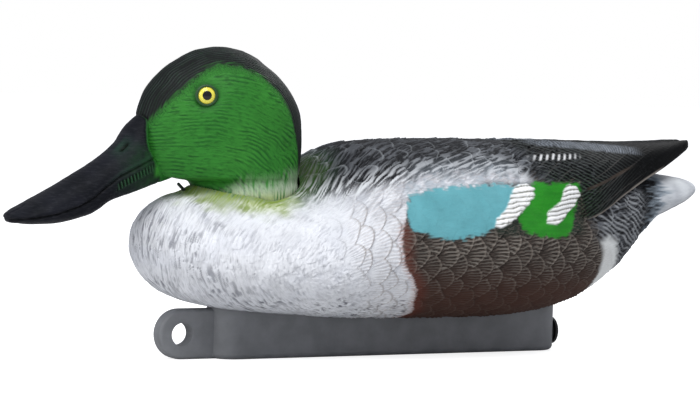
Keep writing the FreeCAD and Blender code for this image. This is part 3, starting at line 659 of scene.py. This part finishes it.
# ---- Folded wings ----
# The two wings of the same moulding, folded over the rump with their points standing clear of the
# tail. Long stiff feathers with raised shafts, sprayed satin black over the coloured panel.
# Place along the hull, lower edge, ridge, half width at the lower edge and at the ridge, as shares.
WING_ROWS = np.array([
    (0.570, 0.360, 0.930, 0.880, 0.280),
    (0.600, 0.400, 0.972, 0.900, 0.300),
    (0.650, 0.530, 0.994, 0.865, 0.330),
    (0.712, 0.595, 0.999, 0.812, 0.360),
    (0.800, 0.715, 0.998, 0.590, 0.300),
    (0.852, 0.788, 0.999, 0.470, 0.260),
    (0.905, 0.858, 1.004, 0.358, 0.220),
    (0.940, 0.904, 1.010, 0.265, 0.163),
    (0.970, 0.945, 1.018, 0.180, 0.118),
    (0.988, 0.972, 1.022, 0.122, 0.084),
    (0.996, 0.988, 1.020, 0.080, 0.060),
    (0.999, 0.998, 1.012, 0.045, 0.032),
])
WING_SPACING = 0.55
WING_VALLEY = 1.6
WING_SIDE_LEAN = 0.95
TIP_PARTING = 3.0
LONG_FEATHER = (34.0, 9.0, 20.0)


def wing_surface():
    """Points of a right wing: each section runs from the middle valley over the ridge and down to
    the lower edge as a smooth curve through five points, then straight back underneath."""
    along = np.linspace(0, 1, 270)
    rows = smooth_rows(np.column_stack([WING_ROWS[:, 0], WING_ROWS]),
                       WING_ROWS[0, 0] + (WING_ROWS[-1, 0] - WING_ROWS[0, 0]) * along)
    x = body_low[0] + hull_length * rows[:, 1]
    low, ridge = (hull_base + HULL_DEPTH * rows[:, i] for i in (2, 3))
    side, crest = (hull_half_width * rows[:, i] for i in (4, 5))
    inner = TIP_PARTING * ramp(x, 186, 214)
    crest = np.maximum(crest, inner + 0.6)
    side = np.maximum(side, crest + 0.6)
    shoulder = (low + 2 * ridge) / 3
    profile = np.stack([
        np.stack([0 * x, inner, ridge - WING_VALLEY], -1),
        np.stack([0 * x + 0.22, (inner + crest) / 2, ridge - WING_VALLEY * 0.25], -1),
        np.stack([0 * x + 0.38, crest, ridge], -1),
        np.stack([0 * x + 0.70, side * WING_SIDE_LEAN, shoulder], -1),
        np.stack([0 * x + 1.00, side, low], -1)], 1)
    over = np.linspace(0, 1, 215)
    outside = np.stack([smooth_rows(section, over)[:, 1:] for section in profile])
    under = np.linspace(0, 1, 26)[1:, None]
    floor = np.stack([np.hstack([side_i * (1 - under) + inner_i * under, low_i + 1.5 * np.sin(under * np.pi / 2)])
                      for side_i, inner_i, low_i in zip(side, inner, low)])
    section = np.concatenate([outside, floor], axis=1)
    points = np.concatenate([np.repeat(x[:, None, None], section.shape[1], 1), section], axis=-1)
    steps = np.linalg.norm(np.diff(section, axis=1), axis=-1)
    across = np.concatenate([np.zeros((len(x), 1)), np.cumsum(steps, axis=1)], axis=1)
    return points, across, len(over)


def wing_plumage(points, across, edge_column, seed):
    """The body's plumage in front, and behind it long feathers: rows of pointed tips with a shaft
    ridge and herringbone barbs."""
    x, y, z = np.moveaxis(points, -1, 0)
    s = x - body_low[0] + 30
    lift, paint, brush, gloss, stroke = plumage(x, y, z, s, across)
    edge = across[:, edge_column - 1:edge_column] - across
    ahead, place, luck = feathers(s, edge + 4, *LONG_FEATHER, seed, 0.25)
    reach = 1 - ahead / (LONG_FEATHER[0] + LONG_FEATHER[2])
    shaft = 1 - ramp(np.abs(place), 0.0, 0.14)
    off_shaft = z - 100 - 0.27 * (x - 113)
    fan = np.where(off_shaft > 0, z + 0.45 * x, z - 0.6 * x) + 0.8 * mottle(x, z, 6.0, 94)
    barb = 0.5 + 0.5 * np.sin(2 * np.pi * fan / 2.3)
    long_lift = 0.55 * reach + 0.35 * shaft + 0.12 * barb - 0.3 * place ** 2
    long = ramp(x, 104, 128)
    under = np.arange(x.shape[1])[None, :] >= edge_column
    lift = lift * (1 - long) + long_lift * long
    calm = 1 - 0.75 * ramp(x, 150, 180)
    lift = np.where(under, 0, lift) * calm * ramp(215 - x, 0, 6) * ramp(np.abs(edge), 0, 1.5)
    black = np.zeros(x.shape + (3,)) + linear("#060708")
    black = tint(black, "#3a3f3d", 0.8 * ramp(barb, 0.5, 1.0) * (1 - ramp(x, 125, 165)))
    black = tint(black, "#464441", 0.7 * ramp(shaft, 0.3, 0.9) * (1 - ramp(x, 140, 172)) * (luck > 0.4))
    black = tint(black, "#2c4a2a", 0.5 * (1 - ramp(x, 104, 130)) * (1 - ramp(z, 96, 112)) * ramp(barb, 0.4, 1.0))
    rim = (1 - ramp(edge, 0.6, 1.9)) * ramp(x, 104, 112) * (1 - ramp(x, 178, 190))
    black = tint(black, "#8f8880", 0.85 * rim)
    off_line = np.abs(z - 115.5 - 0.06 * (x - 90))
    dash = 0.5 + 0.5 * np.sin(2 * np.pi * (x - 1.3 * z) / 3.4)
    white_dash = ramp(dash, 0.6, 0.9) * ramp(x, 78, 86) * (1 - ramp(x, 104, 114)) * (1 - ramp(off_line, 0.8, 1.8))
    off_band = np.abs(z - 122.3 + 0.06 * (x - 122))
    streak = ramp(x, 84, 100) * (1 - ramp(x, 156, 170)) * (1 - ramp(off_band, 1.4, 3.0)) * ramp(np.abs(y), 11, 18)
    speck = ramp(np.sin(2 * np.pi * (x - 0.9 * z + mottle(x, z, 4.0, 92)) / 2.0), -0.2, 0.9)
    black = tint(black, "#9aa2ad", (0.25 + 0.5 * mottle(x, z, 5.0, 93)) * streak * (0.3 + 0.7 * speck))
    panel_free = ramp(x, 100, 106)
    above = ramp(z, 101, 105)
    main_shaft = (1 - ramp(np.abs(off_shaft), 0.5, 1.3)) * ramp(x, 104, 112) * (1 - ramp(x, 140, 160))
    black = tint(black, "#453c35", 0.8 * main_shaft)
    paint = tint(paint, black, np.maximum(panel_free, above * ramp(x, 74, 86)))
    paint = tint(paint, "#e8e9ea", white_dash * 0.9)
    brush[..., 3] *= 1 - 0.9 * long
    gloss = np.maximum(gloss, 0.4 * long)
    return lift, paint, brush, gloss, stroke


wing_paint = painted_plastic("satin_wing_paint", 0.66, 1400.0, 0.05)
wing_points, wing_across, wing_edge = wing_surface()
for side_name, mirror, seed in (("right", 1, 81), ("left", -1, 82)):
    bare = wing_points * (1, mirror, 1)
    lift, paint, brush, gloss, stroke = wing_plumage(bare, wing_across, wing_edge, seed)
    outward = directions(bare)
    if outward[100, 120, 1] * mirror < 0:
        outward = -outward
    raised = bare + outward * lift[..., None]
    piece = grid_piece(side_name + "_wing", raised, None, paint, brush, gloss, stroke)
    piece.data.materials.append(wing_paint)
    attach(piece, "hull")


# ---- Head and neck ----
# A separate hollow moulding that turns on its round neck. Fine combed feather lines run back from
# the bill and bend down the nape; sprayed bright green with a black crown, faded at the collar.
# Height, reach forward and backward of the neck axis, half width, as shares of the head's sizes.
HEAD_ROWS = np.array([
    (-0.290, 0.306, 0.306, 0.984),
    (-0.060, 0.306, 0.306, 0.984),
    (0.000, 0.308, 0.304, 0.975),
    (0.035, 0.328, 0.300, 0.966),
    (0.062, 0.430, 0.300, 0.965),
    (0.090, 0.580, 0.302, 0.970),
    (0.150, 0.640, 0.308, 0.985),
    (0.300, 0.675, 0.318, 1.000),
    (0.450, 0.680, 0.314, 1.000),
    (0.580, 0.660, 0.290, 0.970),
    (0.680, 0.625, 0.245, 0.910),
    (0.780, 0.562, 0.178, 0.800),
    (0.870, 0.475, 0.092, 0.630),
    (0.940, 0.380, 0.010, 0.430),
    (0.985, 0.280, -0.080, 0.210),
    (1.000, 0.220, -0.140, 0.100),
    (1.002, 0.180, -0.180, 0.000),
])
HEAD_BASE = hull_base + 74.0
HEAD_HEIGHT = 78.0
HEAD_HALF_WIDTH = 30.5
SKULL_LENGTH = 98.0
HEAD_FRONT_TAPER = 0.28
HEAD_SPACING = 0.48
COMB_PITCH = 2.1
COMB_CENTRE = (-114.0, 88.0)
COMB_BEND = 0.72
CROWN_CENTRE = (-100.0, 121.0)
# The black crown's lower border on the side of the head: place along the duck and height.
# The groove where the head's feathers end at the bill: height, then place along the duck.
BILL_EDGE = ((98, -133), (106, -136.5), (110.5, -140), (113, -141.8), (117, -144), (121, -145),
             (127.4, -144.6), (133.5, -143), (137, -146), (141, -150))
EYE_SEAT = 5.3
# The slot round the front of the neck, hidden in the hull's cup, that the retaining pin runs in.
PIN_SLOT_MIDDLE = 86.0
PIN_SLOT_HEIGHT = 8.0
PIN_SLOT_TURN = math.radians(65)
EYE_FORWARD_TURN = math.radians(14.0)
CROWN_EDGE = ((-146, 127), (-139, 135), (-132, 143.5), (-122, 153), (-112, 160.5), (-103, 163.5), (-93, 162.5),
              (-81, 157), (-71.7, 149), (-64.4, 137), (-58, 118), (-52, 90))


def head_surface():
    """Egg-shaped level sections, slimmer in front as they reach forward: place = middle + reach
    cos a, side = half width sin a (1 + slimming cos a)."""
    rows = HEAD_ROWS.copy()
    rows[:, 0] = HEAD_BASE + HEAD_HEIGHT * rows[:, 0]
    rows[:, 1:3] *= SKULL_LENGTH
    rows[:, 3] *= HEAD_HALF_WIDTH
    steps = np.linalg.norm(np.diff(rows, axis=0) * (1, 0.6, 0.6, 0.6), axis=1)
    rows = np.column_stack([np.append(0, np.cumsum(steps)), rows])
    along = np.linspace(0, rows[-1, 0], int(rows[-1, 0] / HEAD_SPACING))
    fine = smooth_rows(rows, along)
    z, front, rear, half = (fine[:, i:i + 1] for i in range(1, 5))
    half = np.maximum(half, 0)
    angle = np.linspace(0, 2 * np.pi, 541)[None, :]
    slimming = HEAD_FRONT_TAPER * np.clip((front - rear) / SKULL_LENGTH / 0.3, 0, 1)
    x = neck_axis[0] + (rear - front) / 2 + (rear + front) / 2 * np.cos(angle)
    y = half * np.sin(angle) * (1 + slimming * np.cos(angle))
    return np.stack([x, y, z + 0 * x], axis=-1)


def eye_distance(x, y, z):
    """Distance from the nearer eye's axis."""
    low, high = (np.array(corner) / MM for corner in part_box("right_eye_lens"))
    middle = (low + high) / 2
    off = np.stack([x - middle[0], np.abs(y) - middle[1], z - middle[2]], axis=-1)
    out = np.array([-math.sin(EYE_FORWARD_TURN), math.cos(EYE_FORWARD_TURN), 0])
    return np.linalg.norm(off - (off @ out)[..., None] * out, axis=-1)


def head_plumage(x, y, z):
    """Relief, paint, brush, gloss and line places for the head."""
    bend = COMB_BEND * np.maximum(x - COMB_CENTRE[0], 0)
    bend = bend - 0.5 * np.maximum(-106 - x, 0) * ramp(z, 106, 134)
    comb = COMB_CENTRE[1] + np.hypot(bend, z - COMB_CENTRE[1])
    sweep = np.where(z > COMB_CENTRE[1] + np.abs(bend), x, x - z)
    arc = np.hypot(x - CROWN_CENTRE[0], z - CROWN_CENTRE[1]) - 0.9 * np.abs(y)
    on_crown = ramp(z - border(CROWN_EDGE, x), -4, 1)
    comb = comb * (1 - on_crown) + arc * on_crown + 2.4 * mottle(x * 0.8, z, 8.0, 101)
    broken = mottle(sweep + 4 * mottle(comb, sweep, 3.0, 104), comb * 1.6, 5.0, 102)
    wave = 0.5 + 0.5 * np.sin(2 * np.pi * comb / COMB_PITCH)
    fine = 0.5 + 0.5 * np.sin(2 * np.pi * comb / (COMB_PITCH * 0.57) + 6 * broken)
    lift = (0.2 * wave + 0.14 * fine) * (0.2 + 0.9 * broken) + 0.35 * mottle(x, z, 9.0, 108)
    foot = ramp(z, 89, 93)
    lift = lift * foot * (1 - ramp(z, HEAD_BASE + HEAD_HEIGHT - 3, HEAD_BASE + HEAD_HEIGHT))
    shape = x.shape + (3,)
    green = np.zeros(shape) + linear("#30792a")
    green = tint(green, "#12421a", 0.8 * (1 - ramp(wave, 0.05, 0.35)) * ramp(broken, 0.42, 0.75))
    green = tint(green, "#4b9638", 0.35 * ramp(wave, 0.7, 1.0) * broken)
    green = tint(green, "#1a621e", 0.4 * mottle(x, z, 16.0, 103))
    hair = mottle(comb, sweep * 0.3, 0.9, 105) - 0.5
    crown = ramp(z - border(CROWN_EDGE, x) + 4 * hair, -2.2, 2.8)
    black = tint(np.zeros(shape) + linear("#0b0d0e"), "#34403c", 0.75 * ramp(wave, 0.55, 1.0) * broken)
    paint = tint(green, black, np.maximum(crown, ramp(x, -57.5, -51.5) * ramp(z, 104, 112)))
    upright = mottle(np.arctan2(y, x - neck_axis[0]) * 30, z * 0.12, 1.1, 106)
    streak = 0.6 * upright + 0.4 * mottle(np.arctan2(y, x - neck_axis[0]) * 55, z * 0.2, 1.1, 107)
    ahead_of_neck = 1 - ramp(x, -104, -94)
    fade = 1 - ramp(z + 13 * (streak - 0.5) - 6 * ramp(x, -80, -55) + 9 * ahead_of_neck, 91, 107)
    paint = tint(paint, "#c9d2bf", 0.8 * fade * ramp(streak, 0.2, 0.6))
    band = 1 - ramp(z + 6 * (streak - 0.5), 90, 97)
    paint = tint(paint, "#a3b257", 0.75 * band * ramp(streak, 0.3, 0.6) * (1 - 0.35 * ahead_of_neck))
    paint = tint(paint, "#2a5a26", 0.5 * band * (1 - ramp(streak, 0.25, 0.5)))
    brush = np.zeros(x.shape + (4,))
    brush[..., :3] = linear("#0f3d14")
    brush[..., 3] = 0.5 * (1 - crown) * (1 - 0.7 * fade) + 0.2 * crown
    groove = np.exp(-((x - border(BILL_EDGE, z)) / 0.9) ** 2) * (x < -120)
    lift = lift - 0.8 * groove
    paint = tint(paint, "#0c0f0e", 0.8 * groove)
    paint = tint(paint, "#17191d", (1 - ramp(x - border(BILL_EDGE, z), -0.8, 0.6)) * (x < -120))
    rim = eye_distance(x, y, z)
    lift = np.where(rim < 12, lift * ramp(rim, 7, 12) - 0.6 * (1 - ramp(rim, 5.5, 10)), lift)
    # Painted shade: a darker green ring round each eye seat, fading out between 6.2 and 8.6 mm from the eye's axis.
    paint = tint(paint, "#1a561c", 0.8 * (1 - ramp(rim, 6.2, 8.6)))
    gloss = 0.55 + 0 * x
    return lift, paint, brush, gloss, np.stack([comb * 0.8, sweep], axis=-1)


head_points = head_surface()
lift, paint, brush, gloss, stroke = head_plumage(*np.moveaxis(head_points, -1, 0))
outward = directions(head_points)
if outward[len(head_points) // 2, 0, 0] < 0:
    outward = -outward
combed = head_points + outward * lift[..., None]
head_normals = directions(combed)
if head_normals[len(head_points) // 2, 0, 0] < 0:
    head_normals = -head_normals
head_paint = painted_plastic("brushed_head_paint", 0.64, 1500.0, 0.16)
cell_x, cell_y, cell_z = np.moveaxis((head_points[:-1, :-1] + head_points[1:, 1:]) / 2, -1, 0)
eye_open = eye_distance(cell_x, cell_y, cell_z) < EYE_SEAT
in_slot = (np.abs(cell_z - PIN_SLOT_MIDDLE) < PIN_SLOT_HEIGHT / 2) & (cell_x < neck_axis[0])
in_slot &= np.abs(np.arctan2(cell_y, neck_axis[0] - cell_x)) < PIN_SLOT_TURN
cut_out = eye_open | in_slot
half_turn = head_points.shape[1] // 2
for side_name, columns in (("right", slice(0, half_turn + 1)), ("left", slice(half_turn, None))):
    area = (slice(None), columns)
    piece = grid_piece(side_name + "_head", combed[area], head_normals[area], paint[area], brush[area],
                       gloss[area], stroke[area], ~cut_out[:, columns.start or 0:][:, :half_turn])
    piece.data.materials.append(head_paint)
    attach(piece, "head")
    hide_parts("head_shell")


# ---- Bill ----
# The spoon bill is one moulding with the head: a broad flat tip with a nail, a mouth line, a comb
# of straining ridges behind it and a slit nostril. Satin black, with green overspray at its root.
# Place back from the tip, top and bottom above the hull's base in millimetres, half width share.
BILL_ROWS = np.array([
    (-0.2, 57.0, 57.0, 0.00),
    (0.0, 58.6, 55.4, 0.20),
    (1.5, 60.2, 54.3, 0.50),
    (7.0, 63.2, 53.0, 0.84),
    (17.0, 68.6, 52.8, 1.00),
    (28.0, 74.8, 53.5, 0.99),
    (40.0, 82.0, 56.2, 0.93),
    (46.0, 85.6, 58.2, 0.90),
    (51.0, 88.8, 61.6, 0.87),
    (56.0, 92.6, 65.2, 0.86),
    (62.0, 98.0, 67.6, 0.86),
    (70.0, 109.0, 70.2, 0.90),
    (76.0, 114.0, 72.2, 0.86),
    (82.0, 116.0, 74.4, 0.74),
    (90.0, 116.0, 77.0, 0.60),
    (97.0, 112.0, 80.0, 0.42),
    (97.4, 96.0, 96.0, 0.00),
])
BILL_HALF_WIDTH = 16.5
BILL_SPACING = 0.42
MOUTH_LINE = ((-221, 77.5), (-216, 78.2), (-207, 79.5), (-196, 81.5), (-184, 85.5), (-176, 89.6),
              (-170.5, 94.1), (-160.3, 101.7), (-149.5, 107.3), (-142.6, 110.8), (-138, 112.0))
COMB_RIDGE = 1.85
NOSTRIL = (-156.7, 118.0)
NOSTRIL_LEAN = math.radians(47)
bill_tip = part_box("head_shell")[0].x / MM


def bill_surface():
    """The hull's kind of oval sections, from the tip back into the skull."""
    rows = BILL_ROWS.copy()
    rows[:, 1:3] += hull_base
    rows[:, 3] *= BILL_HALF_WIDTH
    steps = np.linalg.norm(np.diff(rows, axis=0) * (1, 0.6, 0.6, 0.8), axis=1)
    rows = np.column_stack([np.append(0, np.cumsum(steps)), rows])
    along = np.linspace(0, rows[-1, 0], int(rows[-1, 0] / BILL_SPACING))
    fine = smooth_rows(rows, along)
    x = bill_tip + fine[:, 1:2]
    top, bottom, half = fine[:, 2:3], fine[:, 3:4], np.maximum(fine[:, 4:5], 0)
    angle = np.radians(np.linspace(-90, 270, 241))[None, :]
    y, z = oval(top, bottom, half, 2.0, 2.6, angle)
    return np.stack([x + 0 * y, y, z], axis=-1)


def bill_finish(x, y, z):
    below = border(MOUTH_LINE, x) - z
    side = ramp(np.abs(y), 3, 6)
    groove = np.exp(-(below / 0.75) ** 2) * side
    rim = np.exp(-((below + 2.0) / 1.1) ** 2) * side
    comb_zone = (ramp(x, -163, -160) * (1 - ramp(x, -140.5, -138.5)) * ramp(below, 2.2, 3.2)
                 * (1 - ramp(below, 6.6, 7.6)))
    comb = 0.5 + 0.5 * np.sin(2 * np.pi * (x - 0.3 * below) / COMB_RIDGE)
    over_x, over_z = x - NOSTRIL[0], z - NOSTRIL[1]
    along = over_x * math.cos(NOSTRIL_LEAN) + over_z * math.sin(NOSTRIL_LEAN)
    across = -over_x * math.sin(NOSTRIL_LEAN) + over_z * math.cos(NOSTRIL_LEAN)
    slit = np.exp(-(along / 3.2) ** 4 - (across / 0.8) ** 2) * side
    hollow = np.exp(-(along / 5.0) ** 2 - ((across - 1.2) / 2.6) ** 2) * side
    nail = ramp(5.0 - np.hypot((x + 215) / 1.2, y), 0, 1.2) * ramp(z, 80, 82)
    seam = np.exp(-((x - border(BILL_EDGE, z)) / 0.8) ** 2)
    ripple = mottle(x * 0.5 + z, z * 0.9, 3.2, 111) - 0.5
    lift = (-0.95 * groove + 0.35 * rim + comb_zone * (1.1 * comb - 0.95) - 1.3 * slit - 0.5 * hollow
            + 0.35 * nail - 0.5 * seam + 0.16 * ripple)
    lift = lift - 0.7 * ramp(below, 0.5, 1.6) * (1 - ramp(x, -178, -168)) * ramp(x, -219, -214)
    lift = lift - 4.0 * ramp(x - border(BILL_EDGE, z), 0.4, 4.0) * ramp(z, 106, 112)
    shape = x.shape + (3,)
    paint = tint(np.zeros(shape) + linear("#111317"), "#1e1f26", 0.8 * mottle(x, z, 8.0, 112))
    paint = tint(paint, "#2b4a3a", 0.45 * hollow + 0.35 * rim * ramp(x, -172, -150))
    paint = tint(paint, "#030404", np.clip(0.9 * groove + 1.2 * slit, 0, 1))
    paint = tint(paint, "#2f5038", 0.85 * comb_zone * ramp(comb, 0.4, 0.8))
    paint = tint(paint, "#020303", 0.9 * comb_zone * (1 - ramp(comb, 0.2, 0.6)))
    spray = ramp(x, -168, -136) * (1 - ramp(np.abs(z - 105), 7, 20))
    paint = tint(paint, "#2a5a30", 0.45 * spray * (0.4 + 0.6 * mottle(x, z, 2.5, 113)))
    lobe = ramp(x, -140, -137) * ramp(below, 0.6, 1.6) * (1 - ramp(below, 8, 12))
    paint = tint(paint, "#3c8a33", 0.9 * lobe)
    green = ramp(x - border(BILL_EDGE, z), -0.6, 1.4)
    paint = tint(paint, "#246a23", green * 0.9 * (1 - 0.5 * groove))
    brush = np.zeros(x.shape + (4,))
    brush[..., :3] = linear("#3a3b40")
    brush[..., 3] = 0.25
    return lift, paint, brush, 0.85 + 0 * x, np.stack([z, x], axis=-1)


bill_points = bill_surface()
lift, paint, brush, gloss, stroke = bill_finish(*np.moveaxis(bill_points, -1, 0))
outward = directions(bill_points)
if outward[100, 120, 2] < 0:
    outward = -outward
bill = grid_piece("bill", bill_points + outward * lift[..., None], None, paint, brush, gloss, stroke)
close_poles(bill)
bill.data.materials.append(painted_plastic("satin_bill_paint", 0.7, 1800.0, 0.06))
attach(bill, "head")


# ---- Eyes ----
# Each eye is a yellow glass button with a black pupil under a clear dome, glued into a bored seat;
# a soft moulded lid stands round it. The buttons are new pieces that replace the carried-over lenses; the carried-over
# irises, pupils and lenses get new finishes.
LID_RADIUS = 5.15
LID_THICKNESS = 0.55
LID_OVAL = 1.12


def eye_axis(side):
    """Centre of an eye's rim, its outward direction, and the level and upright directions across."""
    low, high = (np.array(corner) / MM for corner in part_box(side + "_eye_lens"))
    turn = EYE_FORWARD_TURN
    sign = -1 if side == "left" else 1
    out = np.array([-math.sin(turn), sign * math.cos(turn), 0])
    middle = (low + high) / 2
    return middle, out, np.array([math.cos(turn), sign * math.sin(turn), 0]), np.array([0, 0, 1.0])


def eyelid(side):
    """A ring carried round the eye: radius out from the rim by cos b, height along the axis by
    sin b, flattened on the outside into a skirt, and drawn to a point before and behind."""
    middle, out, level, upright = eye_axis(side)
    a = np.linspace(0, 2 * np.pi, 121)[:, None]
    b = np.linspace(-0.5 * np.pi, 1.1 * np.pi, 22)[None, :]
    skirt = np.where(np.cos(b) > 0, 1.5, 1.0)
    reach = LID_RADIUS + LID_THICKNESS * skirt * np.cos(b)
    rise = LID_THICKNESS * np.sin(b) * 1.1 - 0.4
    corner = 1 + (LID_OVAL - 1) * np.cos(a) ** 2 * ramp(reach, LID_RADIUS - 0.2, LID_RADIUS + 1.5)
    flat = reach * corner
    return (middle + (flat * np.cos(a))[..., None] * level + (flat * np.sin(a))[..., None] * upright
            + (rise + 0 * a)[..., None] * out)


def plain_finish(name, colour, other, roughness, size, bump_height, **sockets):
    """A moulded or cast finish: two close colours in soft clouds and a fine grain."""
    material, tree = new_material(name)
    place = add(tree, "ShaderNodeTexCoord")
    clouds = add(tree, "ShaderNodeTexNoise", {"Vector": place.outputs["Object"], "Scale": 1 / (size * 12 * MM),
                                              "Detail": 4.0})
    grain = add(tree, "ShaderNodeTexNoise", {"Vector": place.outputs["Object"], "Scale": 1 / (size * MM),
                                             "Detail": 3.0})
    colours = add(tree, "ShaderNodeValToRGB", {"Fac": clouds.outputs["Fac"]})
    colours.color_ramp.elements[0].position = 0.35
    colours.color_ramp.elements[1].position = 0.65
    colours.color_ramp.elements[0].color = (*linear(colour), 1)
    colours.color_ramp.elements[1].color = (*linear(other), 1)
    rough = add(tree, "ShaderNodeMapRange", {"Value": grain.outputs["Fac"], "To Min": roughness - 0.06,
                                             "To Max": roughness + 0.08})
    relief = add(tree, "ShaderNodeBump", {"Height": grain.outputs["Fac"], "Strength": 0.4,
                                          "Distance": bump_height * MM})
    skin = add(tree, "ShaderNodeBsdfPrincipled", {"Base Color": colours.outputs[0], "Roughness": rough.outputs[0],
                                                  "Normal": relief.outputs[0], **sockets})
    finish_material(tree, skin)
    return material


lid_paint = plain_finish("moulded_lid_green", "#123d14", "#184a17", 0.5, 0.8, 0.08)
for side_name in ("left", "right"):
    lid = grid_piece(side_name + "_eyelid", eyelid(side_name))
    lid.data.materials.append(lid_paint)
    close_poles(lid)
    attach(lid, "head")

iris_glass = plain_finish("yellow_iris_enamel", "#e0d33a", "#ece64f", 0.25, 0.5, 0.02)
pupil_glass = plain_finish("black_pupil_enamel", "#050506", "#0a0a0b", 0.12, 0.5, 0.01)
PUPIL_RADIUS = 2.6
IRIS_RADIUS = 4.85
EYE_RADIUS = 5.2
EYE_RISE = 1.3
EYE_SINK = 0.9


def eye_button(side):
    """The clear dome over the painted iris, as one skin: a ball cap that rises by EYE_RISE, on a
    grid of angle round by distance out."""
    middle, out, level, upright = eye_axis(side)
    a = np.linspace(0, 2 * np.pi, 97)[:, None]
    r = np.linspace(0, 1, 40)[None, :] * EYE_RADIUS
    ball = (EYE_RADIUS ** 2 + (EYE_RISE + EYE_SINK) ** 2) / 2 / (EYE_RISE + EYE_SINK)
    rise = np.sqrt(ball ** 2 - r ** 2) - ball + EYE_RISE + 0 * a
    points = (middle + (r * np.cos(a))[..., None] * level + (r * np.sin(a))[..., None] * upright
              + rise[..., None] * out)
    return points, r + 0 * a


def eye_enamel():
    """Painted glass under a clear coat: black pupil, lemon iris a little deeper at both rims."""
    material, tree = new_material("glass_eye_enamel")
    paint = add(tree, "ShaderNodeAttribute", attribute_name="paint")
    place = add(tree, "ShaderNodeTexCoord")
    fibre = add(tree, "ShaderNodeTexNoise", {"Vector": place.outputs["Object"], "Scale": 1500.0})
    rough = add(tree, "ShaderNodeMapRange", {"Value": fibre.outputs["Fac"], "To Min": 0.2, "To Max": 0.3})
    skin = add(tree, "ShaderNodeBsdfPrincipled", {"Base Color": paint.outputs["Color"],
                                                  "Roughness": rough.outputs[0], "IOR": 1.5,
                                                  "Specular IOR Level": 0.2,
                                                  "Coat Weight": 0.6, "Coat Roughness": 0.03})
    finish_material(tree, skin)
    return material


eye_glass = eye_enamel()
for side_name in ("left", "right"):
    points, distance = eye_button(side_name)
    paint = np.zeros(distance.shape + (3,)) + linear("#e6dc50")
    paint = tint(paint, "#b9a41f", 0.5 * ramp(distance, 4.1, 4.8))
    paint = tint(paint, "#16330f", ramp(distance, IRIS_RADIUS - 0.1, IRIS_RADIUS + 0.15))
    paint = tint(paint, "#040404", 1 - ramp(distance, PUPIL_RADIUS - 0.1, PUPIL_RADIUS + 0.1))
    button = grid_piece(side_name + "_eye_button", points, None, paint)
    close_poles(button)
    button.data.materials.append(eye_glass)
    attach(button, "head")
    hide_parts(side_name + "_eye_lens")


def finish_node(node, material):
    """Gives a carried-over part one finish in all its slots."""
    mesh = frame["nodes"][node].data
    mesh.materials.clear()
    mesh.materials.append(material)


for side_name in ("left", "right"):
    finish_node(side_name + "_eye_iris", iris_glass)
    finish_node(side_name + "_eye_pupil", pupil_glass)
    finish_node(side_name + "_eye_lens", eye_glass)


# ---- Keel and fixings ----
# A hollow keel moulded in charcoal polyethylene, filled with ballast and plugged at the rear,
# screwed up into the hull through rubber washers; its front tab takes the anchor line.
finish_node("keel_shell", plain_finish("charcoal_polyethylene", "#696b6e", "#76787b", 0.5, 0.9, 0.12, IOR=1.51))
finish_node("keel_fill_plug", plain_finish("black_rubber_plug", "#151516", "#1e1e1f", 0.6, 0.6, 0.06))
finish_node("vent_plug", plain_finish("black_vinyl_plug", "#191919", "#222222", 0.55, 0.6, 0.05))
finish_node("keel_washers", plain_finish("black_washer_rubber", "#131313", "#1c1c1c", 0.7, 0.5, 0.06))
finish_node("keel_ballast", plain_finish("sand_resin_ballast", "#8d8069", "#a3947a", 0.85, 0.7, 0.3))
finish_node("neck_washer", plain_finish("natural_nylon", "#d8d4c6", "#e3dfd2", 0.42, 0.7, 0.03))
finish_node("neck_plug", plain_finish("moulded_neck_vinyl", "#2a6a28", "#2f7a2c", 0.5, 0.8, 0.08))
finish_node("retaining_pin", plain_finish("dark_green_nylon_pin", "#16241a", "#1d3021", 0.4, 0.5, 0.04))
finish_node("keel_screws", plain_finish("zinc_plated_steel", "#b9bcc0", "#c6c8cb", 0.32, 0.4, 0.02, Metallic=1.0))
